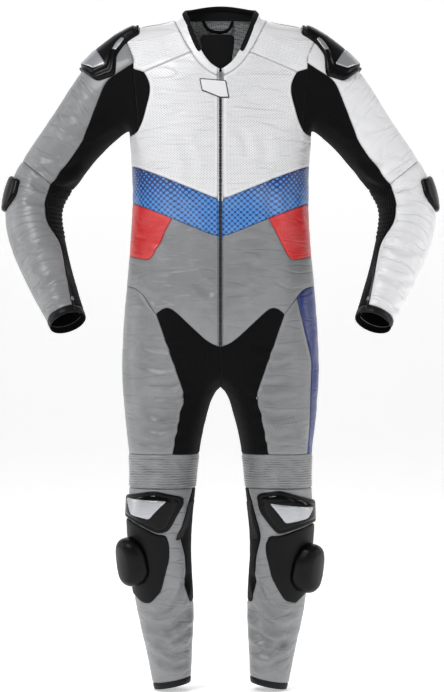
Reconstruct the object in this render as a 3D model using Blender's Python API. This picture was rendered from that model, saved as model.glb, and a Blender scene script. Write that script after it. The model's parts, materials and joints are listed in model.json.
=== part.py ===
"""One-piece leather race suit, worn form with no wearer, as hollow sewn panels.

Metres, +Z up, the front faces -Y and the wearer's left is +X.
Tables are in millimetres above the ankle hem; the origin is where the wearer's shoulders carry
the suit, in the middle of the neck opening.
"""

import math

import bmesh
import bpy
from mathutils import Matrix, Vector
from mathutils.bvhtree import BVHTree
from mathutils.interpolate import poly_3d_calc

MM = 0.001
SHOULDER_HEIGHT = 1400.0
WALL = 1.8
SEAM_GAP = 0.36
SNAP = 5.0
LINE_REACH = 1.8 * MM

TORSO_COLUMNS = 12
LIMB_COLUMNS = 8
# The smoothing step draws the rings in, so they start this much wider.
TORSO_SWELL = 1 / 0.966
LIMB_SWELL = 1 / 0.925
TORSO_SQUARENESS = 0.86

# Torso sections: height at the side, centre front and centre back, half width, front and back depth,
# and how steeply the height falls towards the middle.
TORSO_SECTIONS = [
    # name        side   front   back   half   fore   aft  fall
    ("crotch",     690,   712,   712,   217,  -103,   122,  2),
    ("seat",       757,   760,   760,   214,  -112,   134,  2),
    ("high_hip",   880,   880,   880,   205,  -112,   122,  2),
    ("waist",      962,   962,   962,   197,  -106,   104,  2),
    ("midriff",   1052,  1050,  1052,   191,  -113,   107,  2),
    ("chest",     1140,  1125,  1140,   193,  -123,   119,  2),
    ("armpit",    1218,  1180,  1222,   200,  -125,   126,  2),
    ("scye",      1312,  1228,  1305,   196,  -119,   124,  2),
    ("shoulder",  1460,  1268,  1385,   205,  -112,   108,  1.3),
    ("trapeze",   1453,  1292,  1440,   140,  -106,    88,  2),
    ("neck",      1458,  1306,  1468,    97,  -102,    74,  3),
    ("collar",    1480,  1320,  1500,    78,   -99,    66,  3),
]

# Leg sections: height, centre from the middle, centre fore-aft, half width, half depth, inner rise.
LEG_SECTIONS = [
    ("thigh_mid",    600, 120,   5, 91, 101, 0),
    ("pleat_top",    514, 123,  -5, 77,  88, 0),
    ("pleat_low",    442, 125, -14, 73,  82, 0),
    ("knee",         378, 132, -17, 73,  79, 0),
    ("calf_top",     300, 131,   2, 67,  74, 0),
    ("calf_low",     190, 122,  19, 68,  68, 0),
    ("shin",         104, 113,  18, 53,  53, 4),
    ("hem",           40, 108,  16, 46,  47, 8),
    ("band_top",      22, 106,  15, 43,  45, 9),
    ("ankle",          9, 105,  15, 42,  44, 9),
]

# Sleeve sections: centre out, fore-aft and up, half width across the sleeve, half depth.
SLEEVE_SECTIONS = [
    ("sleeve_head",  250,    4, 1288, 88, 76),
    ("biceps",       300,    6, 1225, 69, 72),
    ("upper_arm",    360,    8, 1146, 66, 70),
    ("elbow_top",    408,    3, 1075, 66, 68),
    ("elbow_low",    406,  -30, 1006, 66, 66),
    ("forearm",      374,  -84,  916, 54, 57),
    ("wrist",        336, -132,  832, 44, 48),
    ("cuff_top",     326, -144,  810, 42, 46),
    ("cuff_end",     321, -150,  798, 42, 46),
]

CROTCH = (0.0, 8.0, 676.0)
TORSO, ARM_L, ARM_R, LEG_L, LEG_R = range(5)
LEFT, RIGHT = 1, -1


# ---------------------------------------------------------------- the suit's surface

def signed_power(value, power):
    return math.copysign(abs(value) ** power, value)


def torso_point(section, column):
    name, side, front, back, half, fore, aft, fall = section
    angle = 2 * math.pi * column / TORSO_COLUMNS
    ahead = math.cos(angle)
    x = half * signed_power(math.sin(angle), TORSO_SQUARENESS) * TORSO_SWELL
    depth = -fore if ahead > 0 else aft
    y = -depth * signed_power(ahead, TORSO_SQUARENESS) * TORSO_SWELL
    reach = front if ahead > 0 else back
    z = side + (reach - side) * abs(ahead) ** fall
    return Vector((x, y, z)) * MM


def leg_point(section, column, side):
    name, height, out, ahead, half, depth, rise = section
    angle = 2 * math.pi * column / LIMB_COLUMNS
    x = out - half * math.cos(angle) * LIMB_SWELL
    y = ahead - depth * math.sin(angle) * LIMB_SWELL
    return Vector((side * x, y, height + rise * math.cos(angle))) * MM


def sleeve_frame(index):
    """Centre, outward and forward directions of a sleeve section (wearer's left)."""
    centres = [Vector(row[1:4]) for row in SLEEVE_SECTIONS]
    before = centres[max(index - 1, 0)]
    after = centres[min(index + 1, len(centres) - 1)]
    if index == 0:
        before = Vector((200, 0, 1313))
    along = (after - before).normalized()
    forward = Vector((0, -1, 0))
    forward = (forward - along * forward.dot(along)).normalized()
    return centres[index], forward.cross(along), forward


def sleeve_point(index, column, side):
    centre, outward, forward = sleeve_frame(index)
    half, depth = SLEEVE_SECTIONS[index][4:6]
    angle = 2 * math.pi * column / LIMB_COLUMNS
    point = centre - outward * half * LIMB_SWELL * math.cos(angle)
    point += forward * depth * LIMB_SWELL * math.sin(angle)
    point.x *= side
    return point * MM


def bridge(bm, upper, lower, kind, flip):
    """Quads between two equal closed rings of vertices."""
    count = len(upper)
    for i in range(count):
        j = (i + 1) % count
        corners = [upper[i], lower[i], lower[j], upper[j]]
        if flip:
            corners.reverse()
        bm.faces.new(corners).material_index = kind


def flag(bm, a, b):
    edge = bm.edges.get((a, b))
    if edge:
        edge.seam = True


def flag_run(bm, verts):
    for a, b in zip(verts, verts[1:]):
        flag(bm, a, b)


def make_cage():
    """The coarse surface: torso rings, legs split at the crotch, sleeves set in the armholes."""
    bm = bmesh.new()
    rings = {}
    for section in TORSO_SECTIONS:
        ring = [bm.verts.new(torso_point(section, k)) for k in range(TORSO_COLUMNS)]
        rings[section[0]] = ring
    names = [section[0] for section in TORSO_SECTIONS]
    armhole_rows = ("armpit", "scye")
    armhole_columns = (2, 3, 8, 9)
    for low, high in zip(names, names[1:]):
        for k in range(TORSO_COLUMNS):
            if low in armhole_rows and k in armhole_columns:
                continue
            j = (k + 1) % TORSO_COLUMNS
            corners = [rings[low][k], rings[low][j], rings[high][j], rings[high][k]]
            bm.faces.new(corners).material_index = TORSO
    crotch = bm.verts.new(Vector(CROTCH) * MM)

    for side in (LEFT, RIGHT):
        kind = LEG_L if side == LEFT else LEG_R
        columns = [side * k % TORSO_COLUMNS for k in range(7)]
        ring = [crotch] + [rings["crotch"][k] for k in columns]
        legs = [ring]
        for section in LEG_SECTIONS:
            below = [bm.verts.new(leg_point(section, j, side)) for j in range(LIMB_COLUMNS)]
            bridge(bm, legs[-1], below, kind, side == RIGHT)
            legs.append(below)
        order = ["top"] + [section[0] for section in LEG_SECTIONS]
        row = dict(zip(order, legs))
        for name in ("pleat_top", "pleat_low", "band_top"):
            flag_run(bm, row[name] + row[name][:1])
        inner_back = [row[name][7] for name in ("top", "thigh_mid", "pleat_top")]
        flag_run(bm, inner_back)
        calf = [row[name][6] for name in ("pleat_low", "knee", "calf_top", "calf_low")]
        flag_run(bm, calf)
        flag_run(bm, [row["calf_low"][j] for j in (6, 7, 0)])
        flag(bm, crotch, rings["crotch"][0])
        flag(bm, crotch, rings["crotch"][6])

        kind = ARM_L if side == LEFT else ARM_R
        k = [side * c % TORSO_COLUMNS for c in (2, 3, 4)]
        low, mid, high = (rings[name] for name in ("armpit", "scye", "shoulder"))
        hole = [low[k[1]], low[k[0]], mid[k[0]], high[k[0]], high[k[1]], high[k[2]], mid[k[2]], low[k[2]]]
        flag_run(bm, hole + hole[:1])
        sleeves = [hole]
        for index in range(len(SLEEVE_SECTIONS)):
            ring = [bm.verts.new(sleeve_point(index, j, side)) for j in range(LIMB_COLUMNS)]
            bridge(bm, sleeves[-1], ring, kind, side == RIGHT)
            sleeves.append(ring)
        flag_run(bm, sleeves[-2] + sleeves[-2][:1])
        flag_run(bm, [ring[7] for ring in sleeves[:-1]])

        flag_run(bm, [rings[name][k[1]] for name in names[:names.index("armpit") + 1]])
        flag_run(bm, [rings[name][k[1]] for name in ("shoulder", "trapeze", "neck")])
    flag_run(bm, rings["neck"] + rings["neck"][:1])
    flag_run(bm, rings["high_hip"][3:10])
    flag_run(bm, rings["crotch"][3:10])
    flag_run(bm, [rings["crotch"][0], rings["seat"][0]])
    loose = [vert for vert in bm.verts if not vert.link_faces]
    bmesh.ops.delete(bm, geom=loose, context="VERTS")
    return bm


def smooth_surface(cage):
    """One Catmull-Clark step of the cage, read back as a bmesh."""
    mesh = bpy.data.meshes.new("surface")
    cage.to_mesh(mesh)
    cage.free()
    carrier = bpy.data.objects.new("surface", mesh)
    bpy.context.scene.collection.objects.link(carrier)
    step = carrier.modifiers.new("smooth", "SUBSURF")
    step.levels = 1
    step.render_levels = 1
    depsgraph = bpy.context.evaluated_depsgraph_get()
    bm = bmesh.new()
    bm.from_mesh(carrier.evaluated_get(depsgraph).to_mesh())
    bpy.data.objects.remove(carrier)
    bpy.data.meshes.remove(mesh)
    return bm


# ---------------------------------------------------------------- seam lines

def blend_point(a, b, part):
    return tuple(p + (q - p) * part for p, q in zip(a, b))


class View:
    """A flat view of the surface, in which seam lines are drawn: across, up, and towards the eye."""

    def __init__(self, origin, across, up, spread):
        self.origin = Vector(origin) * MM
        self.across = Vector(across).normalized()
        self.up = Vector(up).normalized()
        self.eye = self.across.cross(self.up)
        self.spread = spread

    def flat(self, point):
        offset = point - self.origin
        return offset.dot(self.across), offset.dot(self.up)

    def solid(self, u, v, point):
        """The point moved, level with the view, to (u, v)."""
        flat_u, flat_v = self.flat(point)
        return point + self.across * (u - flat_u) + self.up * (v - flat_v)

    def faces(self, bm, kinds):
        for face in bm.faces:
            if face.material_index in kinds and face.normal.dot(self.eye) > self.spread:
                yield face


FRONT = View((0, 0, 0), (1, 0, 0), (0, 0, 1), 0.0)
BACK = View((0, 0, 0), (-1, 0, 0), (0, 0, 1), 0.0)
THROUGH = View((0, 0, 0), (1, 0, 0), (0, 0, 1), -2.0)


def crossing_span(face, view, start, along, normal):
    """Where a face's border crosses the line, as distances along it."""
    spans = []
    for loop in face.loops:
        ends = []
        for vert in (loop.vert, loop.link_loop_next.vert):
            u, v = view.flat(vert.co)
            du, dv = u - start[0], v - start[1]
            ends.append((du * along[0] + dv * along[1], du * normal[0] + dv * normal[1]))
        (t0, d0), (t1, d1) = ends
        if abs(d0) < 1e-7:
            spans.append(t0)
        if d0 * d1 < 0:
            spans.append(t0 + (t1 - t0) * d0 / (d0 - d1))
    return spans


def on_seam(vert):
    return vert.is_boundary or any(edge.seam for edge in vert.link_edges)


def snap_corner(bm, view, kinds, corner, locked, reach):
    """Moves the nearest free vertex of the surface onto a corner of a seam line."""
    best = None
    for face in view.faces(bm, kinds):
        for vert in face.verts:
            u, v = view.flat(vert.co)
            gap = math.hypot(u - corner[0], v - corner[1])
            if gap < reach and (best is None or gap < best[0]):
                best = (gap, vert)
    if best and best[1] not in locked and not on_seam(best[1]):
        vert = best[1]
        vert.co = view.solid(corner[0], corner[1], vert.co)
        locked.add(vert)


def each_once(items):
    """The items in their order, without repeats. A set's order would differ from run to run."""
    return list(dict.fromkeys(items))


def cut_line(bm, view, kinds, start, end, locked, only=None, snap=SNAP):
    """Cuts the surface's faces along one straight stretch."""
    length = math.hypot(end[0] - start[0], end[1] - start[1])
    along = ((end[0] - start[0]) / length, (end[1] - start[1]) / length)
    normal = (-along[1], along[0])
    reach = snap * MM
    candidates = [f for f in view.faces(bm, kinds) if only is None or f[only[0]] == only[1]]
    chosen = []
    for face in candidates:
        spans = crossing_span(face, view, start, along, normal)
        if len(spans) > 1 and max(spans) > 0.0005 and min(spans) < length - 0.0005:
            chosen.append(face)
    for vert in each_once(vert for face in chosen for vert in face.verts):
        if vert in locked or on_seam(vert):
            continue
        u, v = view.flat(vert.co)
        du, dv = u - start[0], v - start[1]
        run, off = du * along[0] + dv * along[1], du * normal[0] + dv * normal[1]
        if abs(off) < reach and -reach < run < length + reach:
            vert.co = view.solid(u - off * normal[0], v - off * normal[1], vert.co)
    plane = (view.across * normal[0] + view.up * normal[1]).normalized()
    origin = view.origin + view.across * start[0] + view.up * start[1]
    edges = each_once(edge for face in chosen for edge in face.edges)
    verts = each_once(vert for face in chosen for vert in face.verts)
    geometry = verts + edges + chosen
    near = 0.32 * reach
    result = bmesh.ops.bisect_plane(bm, geom=geometry, dist=near, plane_co=origin, plane_no=plane)
    locked.update(item for item in result["geom_cut"] if isinstance(item, bmesh.types.BMVert))


def edges_on_line(bm, view, kinds, start, end):
    """The surface's edges that lie along one straight stretch."""
    length = math.hypot(end[0] - start[0], end[1] - start[1])
    along = ((end[0] - start[0]) / length, (end[1] - start[1]) / length)
    found = []
    for face in view.faces(bm, kinds):
        for edge in face.edges:
            on_line = True
            for vert in edge.verts:
                u, v = view.flat(vert.co)
                du, dv = u - start[0], v - start[1]
                run = du * along[0] + dv * along[1]
                off = dv * along[0] - du * along[1]
                on_line = on_line and abs(off) < LINE_REACH and -LINE_REACH < run < length + LINE_REACH
            if on_line:
                found.append(edge)
    return each_once(found)


def set_corner(bm, view, kinds, start, end, kept, locked, reach):
    """Makes sure that a vertex of the stretch just cut lies exactly at its end."""
    edges = edges_on_line(bm, view, kinds, start, blend_point(start, end, 1.5))
    near = []
    for vert in each_once(vert for edge in edges for vert in edge.verts):
        u, v = view.flat(vert.co)
        near.append((math.hypot(u - end[0], v - end[1]), len(near), vert))
    near.sort(key=lambda item: item[:2])
    if near and near[0][0] < 1e-5:
        return
    if near and near[0][0] < reach and near[0][2] not in kept and not on_seam(near[0][2]):
        near[0][2].co = view.solid(end[0], end[1], near[0][2].co)
        return
    for edge in edges:
        ends = [view.flat(vert.co) for vert in edge.verts]
        length = math.hypot(ends[1][0] - ends[0][0], ends[1][1] - ends[0][1])
        first = math.hypot(end[0] - ends[0][0], end[1] - ends[0][1])
        second = math.hypot(end[0] - ends[1][0], end[1] - ends[1][1])
        if length > 0 and abs(first + second - length) < 1e-4:
            made = bmesh.utils.edge_split(edge, edge.verts[0], first / length)[1]
            locked.add(made)
            return


def cut_path(bm, view, kinds, path, locked, closed=False, only=None, snap=SNAP):
    """Cuts the surface along a seam line, in millimetres on the view, and gives its stretches."""
    corners = [(u * MM, v * MM) for u, v in path]
    for corner in corners:
        snap_corner(bm, view, kinds, corner, locked, 1.4 * snap * MM)
    if closed:
        corners.append(corners[0])
    stretches = [(view, kinds, start, end) for start, end in zip(corners, corners[1:])]
    kept = set(locked)
    for view, kinds, start, end in stretches:
        cut_line(bm, view, kinds, start, end, locked, only, snap)
        if not closed:
            set_corner(bm, view, kinds, start, end, kept, locked, snap * MM)
        bm.normal_update()
    return stretches


def mark_seams(bm, stretches):
    for view, kinds, start, end in stretches:
        for edge in edges_on_line(bm, view, kinds, start, end):
            edge.seam = True


# Seam lines of the front, on the wearer's left: out from the middle, and height.
HIP_TIP_TOP = (111, 836)
HIP_TIP_LOW = (138, 818)
SEAMS = [
    # name            region  view     path
    ("yoke",          "body", FRONT, [(57, 1381), (163, 1337), (215, 1352)]),
    ("armpit",        "body", FRONT, [(163, 1337), (147, 1302), (168, 1226), (181, 1204), (225, 1200)]),
    ("chevron_top",   "body", FRONT, [(0, 1058), (225, 1152)]),
    ("chevron_low",   "body", FRONT, [(0, 978), (225, 1072)]),
    ("flank",         "body", FRONT, [(104, 1021), (150, 930), (225, 950)]),
    ("stretch_top",   "body", FRONT, [(0, 750), (21, 751), HIP_TIP_TOP, HIP_TIP_LOW,
                                      (74, 638), (84, 614), (103, 512)]),
    ("hip_seam",      "body", FRONT, [HIP_TIP_LOW, (178, 872), (232, 886)]),
    ("calf_stretch",  "body", FRONT, [(58, 452), (88, 340), (77, 300), (72, 194), (40, 194)]),
    ("inner_sleeve",  "arm",  FRONT, [(160, 1374), (246, 1320), (298, 1184), (364, 1096)]),
    ("elbow_seam",    "arm",  THROUGH, [(490, 1200), (364, 1096), (290, 1084)]),
    ("elbow_panel",   "arm",  FRONT, [(364, 1096), (378, 1062), (373, 1016), (341, 970), (300, 790)]),
]
SIDE_PANEL = [(164, 853), (197, 714), (191, 560), (186, 500)]
REGIONS = {"body": ({TORSO, LEG_L}, {TORSO, LEG_R}), "arm": ({ARM_L}, {ARM_R})}
ZIP_HALF = 5.0
ZIP_FOOT = 748.0


def cut_seams(bm):
    """Cuts every seam line into the surface, on both sides, and marks its edges."""
    locked = set()
    stretches = []
    bm.normal_update()
    for side in (LEFT, RIGHT):
        for name, region, view, path in SEAMS:
            kinds = REGIONS[region][0 if side == LEFT else 1]
            mirrored = [(side * u, v) for u, v in path]
            stretches += cut_path(bm, view, kinds, mirrored, locked)
        zip_edge = [(side * ZIP_HALF, 1345), (side * ZIP_HALF, ZIP_FOOT)]
        stretches += cut_path(bm, FRONT, {TORSO}, zip_edge, locked, snap=2.0)
    stretches += cut_path(bm, FRONT, {TORSO, LEG_L}, SIDE_PANEL, locked)
    foot = [(-ZIP_HALF, ZIP_FOOT), (ZIP_HALF, ZIP_FOOT)]
    stretches += cut_path(bm, FRONT, {TORSO}, foot, locked, snap=2.0)
    mark_seams(bm, stretches)
    # Within the zip's strip nothing else is sewn.
    for edge in bm.edges:
        middle = (edge.verts[0].co + edge.verts[1].co) / 2
        in_strip = abs(middle.x) < (ZIP_HALF - 0.6) * MM and middle.y < 0
        if in_strip and middle.z > (ZIP_FOOT + 1) * MM:
            edge.seam = False
    return locked


# ---------------------------------------------------------------- panels

# Panels by a point inside each, for the wearer's left; "_L" and "_R" are added to sided ones.
MIDDLE_PANELS = {
    "back": (0, 110, 1150),
    "seat": (0, 125, 800),
    "collar": (0, 70, 1485),
    "zip_tape": (0, -110, 1000),
    "thigh_side": (208, -20, 700),
}
SIDED_PANELS = {
    "yoke": (130, -60, 1390),
    "chest": (90, -115, 1220),
    "armpit": (165, -75, 1270),
    "chevron": (80, -108, 1050),
    "flank": (160, -70, 980),
    "belly": (80, -108, 880),
    "thigh": (170, -70, 640),
    "inner_leg": (40, -50, 620),
    "knee_pleats": (125, -95, 478),
    "shin": (130, -75, 260),
    "calf_stretch": (75, 40, 330),
    "ankle_band": (107, -28, 20),
    "sleeve": (340, -40, 1220),
    "inner_sleeve": (262, -40, 1200),
    "forearm": (420, -60, 980),
    "elbow_stretch": (345, -50, 1040),
    "cuff": (325, -190, 800),
}


def islands_of(bm):
    """Groups of faces with no seam between them."""
    bm.faces.ensure_lookup_table()
    waiting = set(bm.faces)
    groups = []
    while waiting:
        first = next(face for face in bm.faces if face in waiting)
        waiting.discard(first)
        group, stack = [], [first]
        while stack:
            face = stack.pop()
            group.append(face)
            for edge in face.edges:
                for other in edge.link_faces:
                    if not edge.seam and other in waiting:
                        waiting.discard(other)
                        stack.append(other)
        groups.append(group)
    return groups


def name_panels(bm):
    """The faces of each named panel: the group whose nearest face is closest to the panel's point."""
    groups = islands_of(bm)
    centres = [[face.calc_center_median() for face in group] for group in groups]
    panels = {}
    wanted = dict(MIDDLE_PANELS)
    for name, (x, y, z) in SIDED_PANELS.items():
        wanted[name + "_L"] = (x, y, z)
        wanted[name + "_R"] = (-x, y, z)
    for name, seed in wanted.items():
        point = Vector(seed) * MM
        gaps = [min((centre - point).length for centre in group) for group in centres]
        panels[name] = groups[gaps.index(min(gaps))]
    owner = {face: name for name, group in panels.items() for face in group}
    scraps = [group for group in groups if group[0] not in owner]
    for scrap in scraps:
        absorb(scrap, owner)
    return {name: [face for face in bm.faces if owner.get(face) == name] for name in wanted}


def absorb(scrap, owner):
    """Joins a scrap between crossing seam lines to the panel it shares the longest seam with."""
    shared = {}
    for face in scrap:
        for edge in face.edges:
            for other in edge.link_faces:
                if other in owner:
                    shared.setdefault(owner[other], []).append(edge)
    name = max(shared, key=lambda key: (sum(edge.calc_length() for edge in shared[key]), key))
    for edge in shared[name]:
        edge.seam = False
    for face in scrap:
        owner[face] = name


# Ribs: the panel, the first and last rib line on the front view, how many, and how high.
RIBS = [
    # panel            first line                 last line                  count height
    ("yoke",          ((79, 1372), (190, 1343)), ((98, 1424), (164, 1410)), 12, 1.6),
    ("knee_pleats",   ((40, 509), (205, 509)),   ((40, 446), (205, 446)),   13, 3.0),
    ("elbow_stretch", ((300, 1078), (372, 1090)), ((296, 976), (352, 982)), 9, 2.4),
]


def line_offset(point, start, end):
    """Signed distance from a line, and the distance along it as a part of its length."""
    length = math.hypot(end[0] - start[0], end[1] - start[1])
    along = ((end[0] - start[0]) / length, (end[1] - start[1]) / length)
    du, dv = point[0] - start[0], point[1] - start[1]
    return dv * along[0] - du * along[1], (du * along[0] + dv * along[1]) / length


def cut_ribs(bm, layer, numbers, locked):
    """Cuts a crest and a valley line for each rib of the ribbed panels."""
    kinds = {TORSO, ARM_L, ARM_R, LEG_L, LEG_R}
    for panel, first, last, count, height in RIBS:
        for side, letter in ((LEFT, "_L"), (RIGHT, "_R")):
            number = numbers[panel + letter]
            steps = 2 * count
            for step in range(steps + 1):
                part = step / steps
                start = blend_point(first[0], last[0], part)
                end = blend_point(first[1], last[1], part)
                line = [(side * u * MM, v * MM) for u, v in (start, end)]
                cut_line(bm, FRONT, kinds, line[0], line[1], locked, (layer, number), 1.1)


def rib_rise(name, vert):
    """How far a rib lifts the leather at this vertex."""
    for panel, first, last, count, height in RIBS:
        if name[:-2] != panel or on_seam(vert):
            continue
        side = LEFT if name.endswith("_L") else RIGHT
        u, v = FRONT.flat(vert.co)
        point = (side * u / MM, v / MM)
        off_first, run = line_offset(point, *first)
        off_last = line_offset(point, *last)[0]
        if off_first * off_last > 0 or not -0.02 < run < 1.02:
            return 0.0
        part = abs(off_first) / (abs(off_first) + abs(off_last))
        phase = part * 2 * count % 2
        wave = 1 - abs(phase - 1)
        facing = min(max(-vert.normal.y * 2.0, 0.0), 1.0)
        return height * wave * facing
    return 0.0


# ---------------------------------------------------------------- walls

def inward_steps(faces):
    """For each border vertex of a panel, the step that draws it in by half a seam gap."""
    inside = set(faces)
    pulls = {}
    borders = []
    for face in faces:
        for loop in face.loops:
            if any(other in inside for other in loop.edge.link_faces if other is not face):
                continue
            start, end = loop.vert, loop.link_loop_next.vert
            pull = face.normal.cross((end.co - start.co).normalized())
            borders.append((start, end))
            pulls.setdefault(start, []).append(pull)
            pulls.setdefault(end, []).append(pull)
    steps = {}
    for vert, directions in pulls.items():
        total = sum(directions, Vector()).normalized()
        reach = min(total.dot(pull) for pull in directions)
        fold = min(vert.normal.dot(face.normal) for face in vert.link_faces)
        ease = 1 + 6 * max(0.0, 0.9 - fold)
        steps[vert] = total * ease * (SEAM_GAP / 2) / max(reach, 0.33)
    return steps, borders


def place_key(vert):
    return tuple(round(value * 1e6) for value in vert.co)


def skin(faces, move, first, flip):
    """Points and triangles of one skin of a panel, and each vertex's number by its place."""
    verts = sorted({vert for face in faces for vert in face.verts}, key=lambda vert: vert.index)
    steps = inward_steps(faces)[0]
    points = [move(vert) + steps.get(vert, Vector()) * MM for vert in verts]
    numbers = {place_key(vert): i + first for i, vert in enumerate(verts)}
    triangles = []
    for face in faces:
        corners = [numbers[place_key(vert)] for vert in face.verts]
        triangles.append(tuple(reversed(corners)) if flip else tuple(corners))
    return points, triangles, numbers


def wall_mesh(name, faces, outer, inner, plain_faces=None):
    """A closed wall between two skins of one panel; the inner one may leave its ribs out."""
    points, triangles, outside = skin(faces, outer, 0, False)
    plain_faces = plain_faces or faces
    inner_points, inner_triangles, inside = skin(plain_faces, inner, len(points), True)
    for start, end in inward_steps(faces)[1]:
        a, b = outside[place_key(start)], outside[place_key(end)]
        c, d = inside[place_key(start)], inside[place_key(end)]
        triangles.append((a, c, d))
        triangles.append((a, d, b))
    mesh = bpy.data.meshes.new(name)
    mesh.from_pydata(points + inner_points, [], triangles + inner_triangles)
    return mesh


def same_border(faces, others):
    borders = []
    for group in (faces, others):
        borders.append({place_key(start) for start, end in inward_steps(group)[1]})
    return borders[0] == borders[1]


MATERIALS = {
    # name          colour                    roughness metallic
    "white_leather": ((0.83, 0.83, 0.82, 1.0), 0.45, 0.0),
    "grey_leather":  ((0.52, 0.53, 0.54, 1.0), 0.42, 0.0),
    "navy_leather":  ((0.030, 0.045, 0.18, 1.0), 0.42, 0.0),
    "red_leather":   ((0.70, 0.03, 0.03, 1.0), 0.42, 0.0),
    "black_leather": ((0.015, 0.015, 0.016, 1.0), 0.40, 0.0),
    "black_stretch": ((0.012, 0.012, 0.013, 1.0), 0.85, 0.0),
    "black_plastic": ((0.010, 0.010, 0.011, 1.0), 0.25, 0.0),
    "silver_plate":  ((0.55, 0.56, 0.57, 1.0), 0.30, 1.0),
    "zip_metal":     ((0.70, 0.70, 0.70, 1.0), 0.25, 1.0),
}


def material(name):
    found = bpy.data.materials.get(name)
    if found:
        return found
    made = bpy.data.materials.new(name)
    made.use_nodes = True
    shader = made.node_tree.nodes["Principled BSDF"]
    colour, roughness, metallic = MATERIALS[name]
    shader.inputs["Base Color"].default_value = colour
    shader.inputs["Roughness"].default_value = roughness
    shader.inputs["Metallic"].default_value = metallic
    made.diffuse_color = colour
    return made


ORIGIN = Vector((0, 0, SHOULDER_HEIGHT * MM))


def add_object(name, mesh, finish):
    mesh.transform(Matrix.Translation(-ORIGIN))
    mesh.materials.append(material(finish))
    made = bpy.data.objects.new(name, mesh)
    bpy.context.scene.collection.objects.link(made)
    return made


PANEL_FINISH = {
    "chest": "white_leather", "yoke": "white_leather", "collar": "white_leather",
    "chevron": "navy_leather", "flank": "red_leather", "thigh_side": "navy_leather",
    "armpit": "black_stretch", "inner_sleeve": "black_stretch", "elbow_stretch": "black_stretch",
    "inner_leg": "black_stretch", "calf_stretch": "black_stretch",
    "cuff": "black_stretch", "ankle_band": "black_stretch", "zip_tape": "black_stretch",
    "sleeve_L": "white_leather", "forearm_L": "white_leather",
}


def finish_of(name):
    base = name[:-2] if name[-2:] in ("_L", "_R") else name
    return PANEL_FINISH.get(name) or PANEL_FINISH.get(base) or "grey_leather"


# ---------------------------------------------------------------- pieces that lie on the panels

CLEARANCE = 0.4
KNEE_TURN = math.radians(52)

# Outlines on the front view, out from the middle and up. Those with a side are for that side alone.
OVERLAYS = [
    # piece, side, view, what it lies on, finish, stand-off, edge height, full height, bevel, outline
    ("shoulder_cup", None, THROUGH, "arm", "black_plastic", 0.0, 4.0, 11.0, 14,
     [(173, 1423), (206, 1402), (223, 1374), (226, 1330), (266, 1316), (300, 1344), (370, 1375),
      (330, 1480), (180, 1480)]),
    ("shoulder_plate", None, FRONT, "arm", "silver_plate", 11.5, 1.2, 2.0, 4,
     [(267, 1392), (246, 1353), (270, 1342), (302, 1358), (340, 1392), (300, 1420)]),
    ("elbow_slider", None, THROUGH, "sleeve", "black_plastic", 0.0, 4.0, 8.0, 10,
     [(430, 1104), (446, 1116), (500, 1120), (500, 1034), (462, 1040), (436, 1072)]),
    ("knee_frame", LEFT, FRONT, "leg", "black_plastic", 0.0, 3.0, 7.5, 10,
     [(78, 434), (125, 441), (202, 416), (230, 398), (230, 370), (195, 368), (122, 346), (84, 394)]),
    ("knee_frame", RIGHT, FRONT, "leg", "black_plastic", 0.0, 3.0, 7.5, 10,
     [(80, 426), (140, 440), (201, 428), (230, 426), (230, 378), (200, 380), (134, 348), (112, 352),
      (80, 410)]),
    ("knee_plate", LEFT, FRONT, "leg", "silver_plate", 8.0, 1.0, 2.0, 4,
     [(112, 414), (190, 402), (180, 380), (140, 372)]),
    ("knee_plate", RIGHT, FRONT, "leg", "silver_plate", 8.0, 1.0, 2.0, 4,
     [(121, 419), (192, 422), (184, 388), (152, 380)]),
    ("knee_base", LEFT, FRONT, "leg", "black_leather", 0.0, 2.0, 3.5, 8,
     [(97, 326), (106, 343), (124, 343.6), (195.5, 365.6), (230, 367.6), (230, 290), (196, 226),
      (162, 194), (138, 200), (110, 250), (98, 300)]),
    ("knee_base", RIGHT, FRONT, "leg", "black_leather", 0.0, 2.0, 3.5, 8,
     [(110, 326), (116, 345), (135, 346), (201, 378), (230, 376), (230, 240), (190, 214), (168, 194),
      (150, 194), (129, 218), (110, 290)]),
]

KNEE_VIEWS = {
    side: View((side * 131, 0, 0), (math.cos(KNEE_TURN), side * math.sin(KNEE_TURN), 0), (0, 0, 1), 0.1)
    for side in (LEFT, RIGHT)
}
# The knee slider's outline about its own middle, and that middle's place and height.
SLIDER_OUTLINE = [(-40, 22), (-30, 44), (-8, 54), (18, 50), (36, 28), (38, -10), (26, -42), (4, -54),
                  (-20, -50), (-38, -26)]
SLIDER_MIDDLE = {LEFT: (6, 272), RIGHT: (6, 286)}
SLIDER_HEIGHT = 33.0
SLIDER_EDGE_HEIGHT = 14.0
SLIDER_BEVEL = 17


def inside_outline(point, outline):
    """Whether a flat point lies inside a closed outline, by counting crossings."""
    u, v = point
    inside = False
    for (u0, v0), (u1, v1) in zip(outline, outline[1:] + outline[:1]):
        if (v0 > v) != (v1 > v) and u < (u1 - u0) * (v - v0) / (v1 - v0) + u0:
            inside = not inside
    return inside


def edge_distance(point, outline):
    """Distance from a flat point to a closed outline."""
    best = 1e9
    for start, end in zip(outline, outline[1:] + outline[:1]):
        off, run = line_offset(point, start, end)
        part = min(max(run, 0.0), 1.0)
        foot = blend_point(start, end, part)
        best = min(best, math.hypot(point[0] - foot[0], point[1] - foot[1]))
    return best


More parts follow.
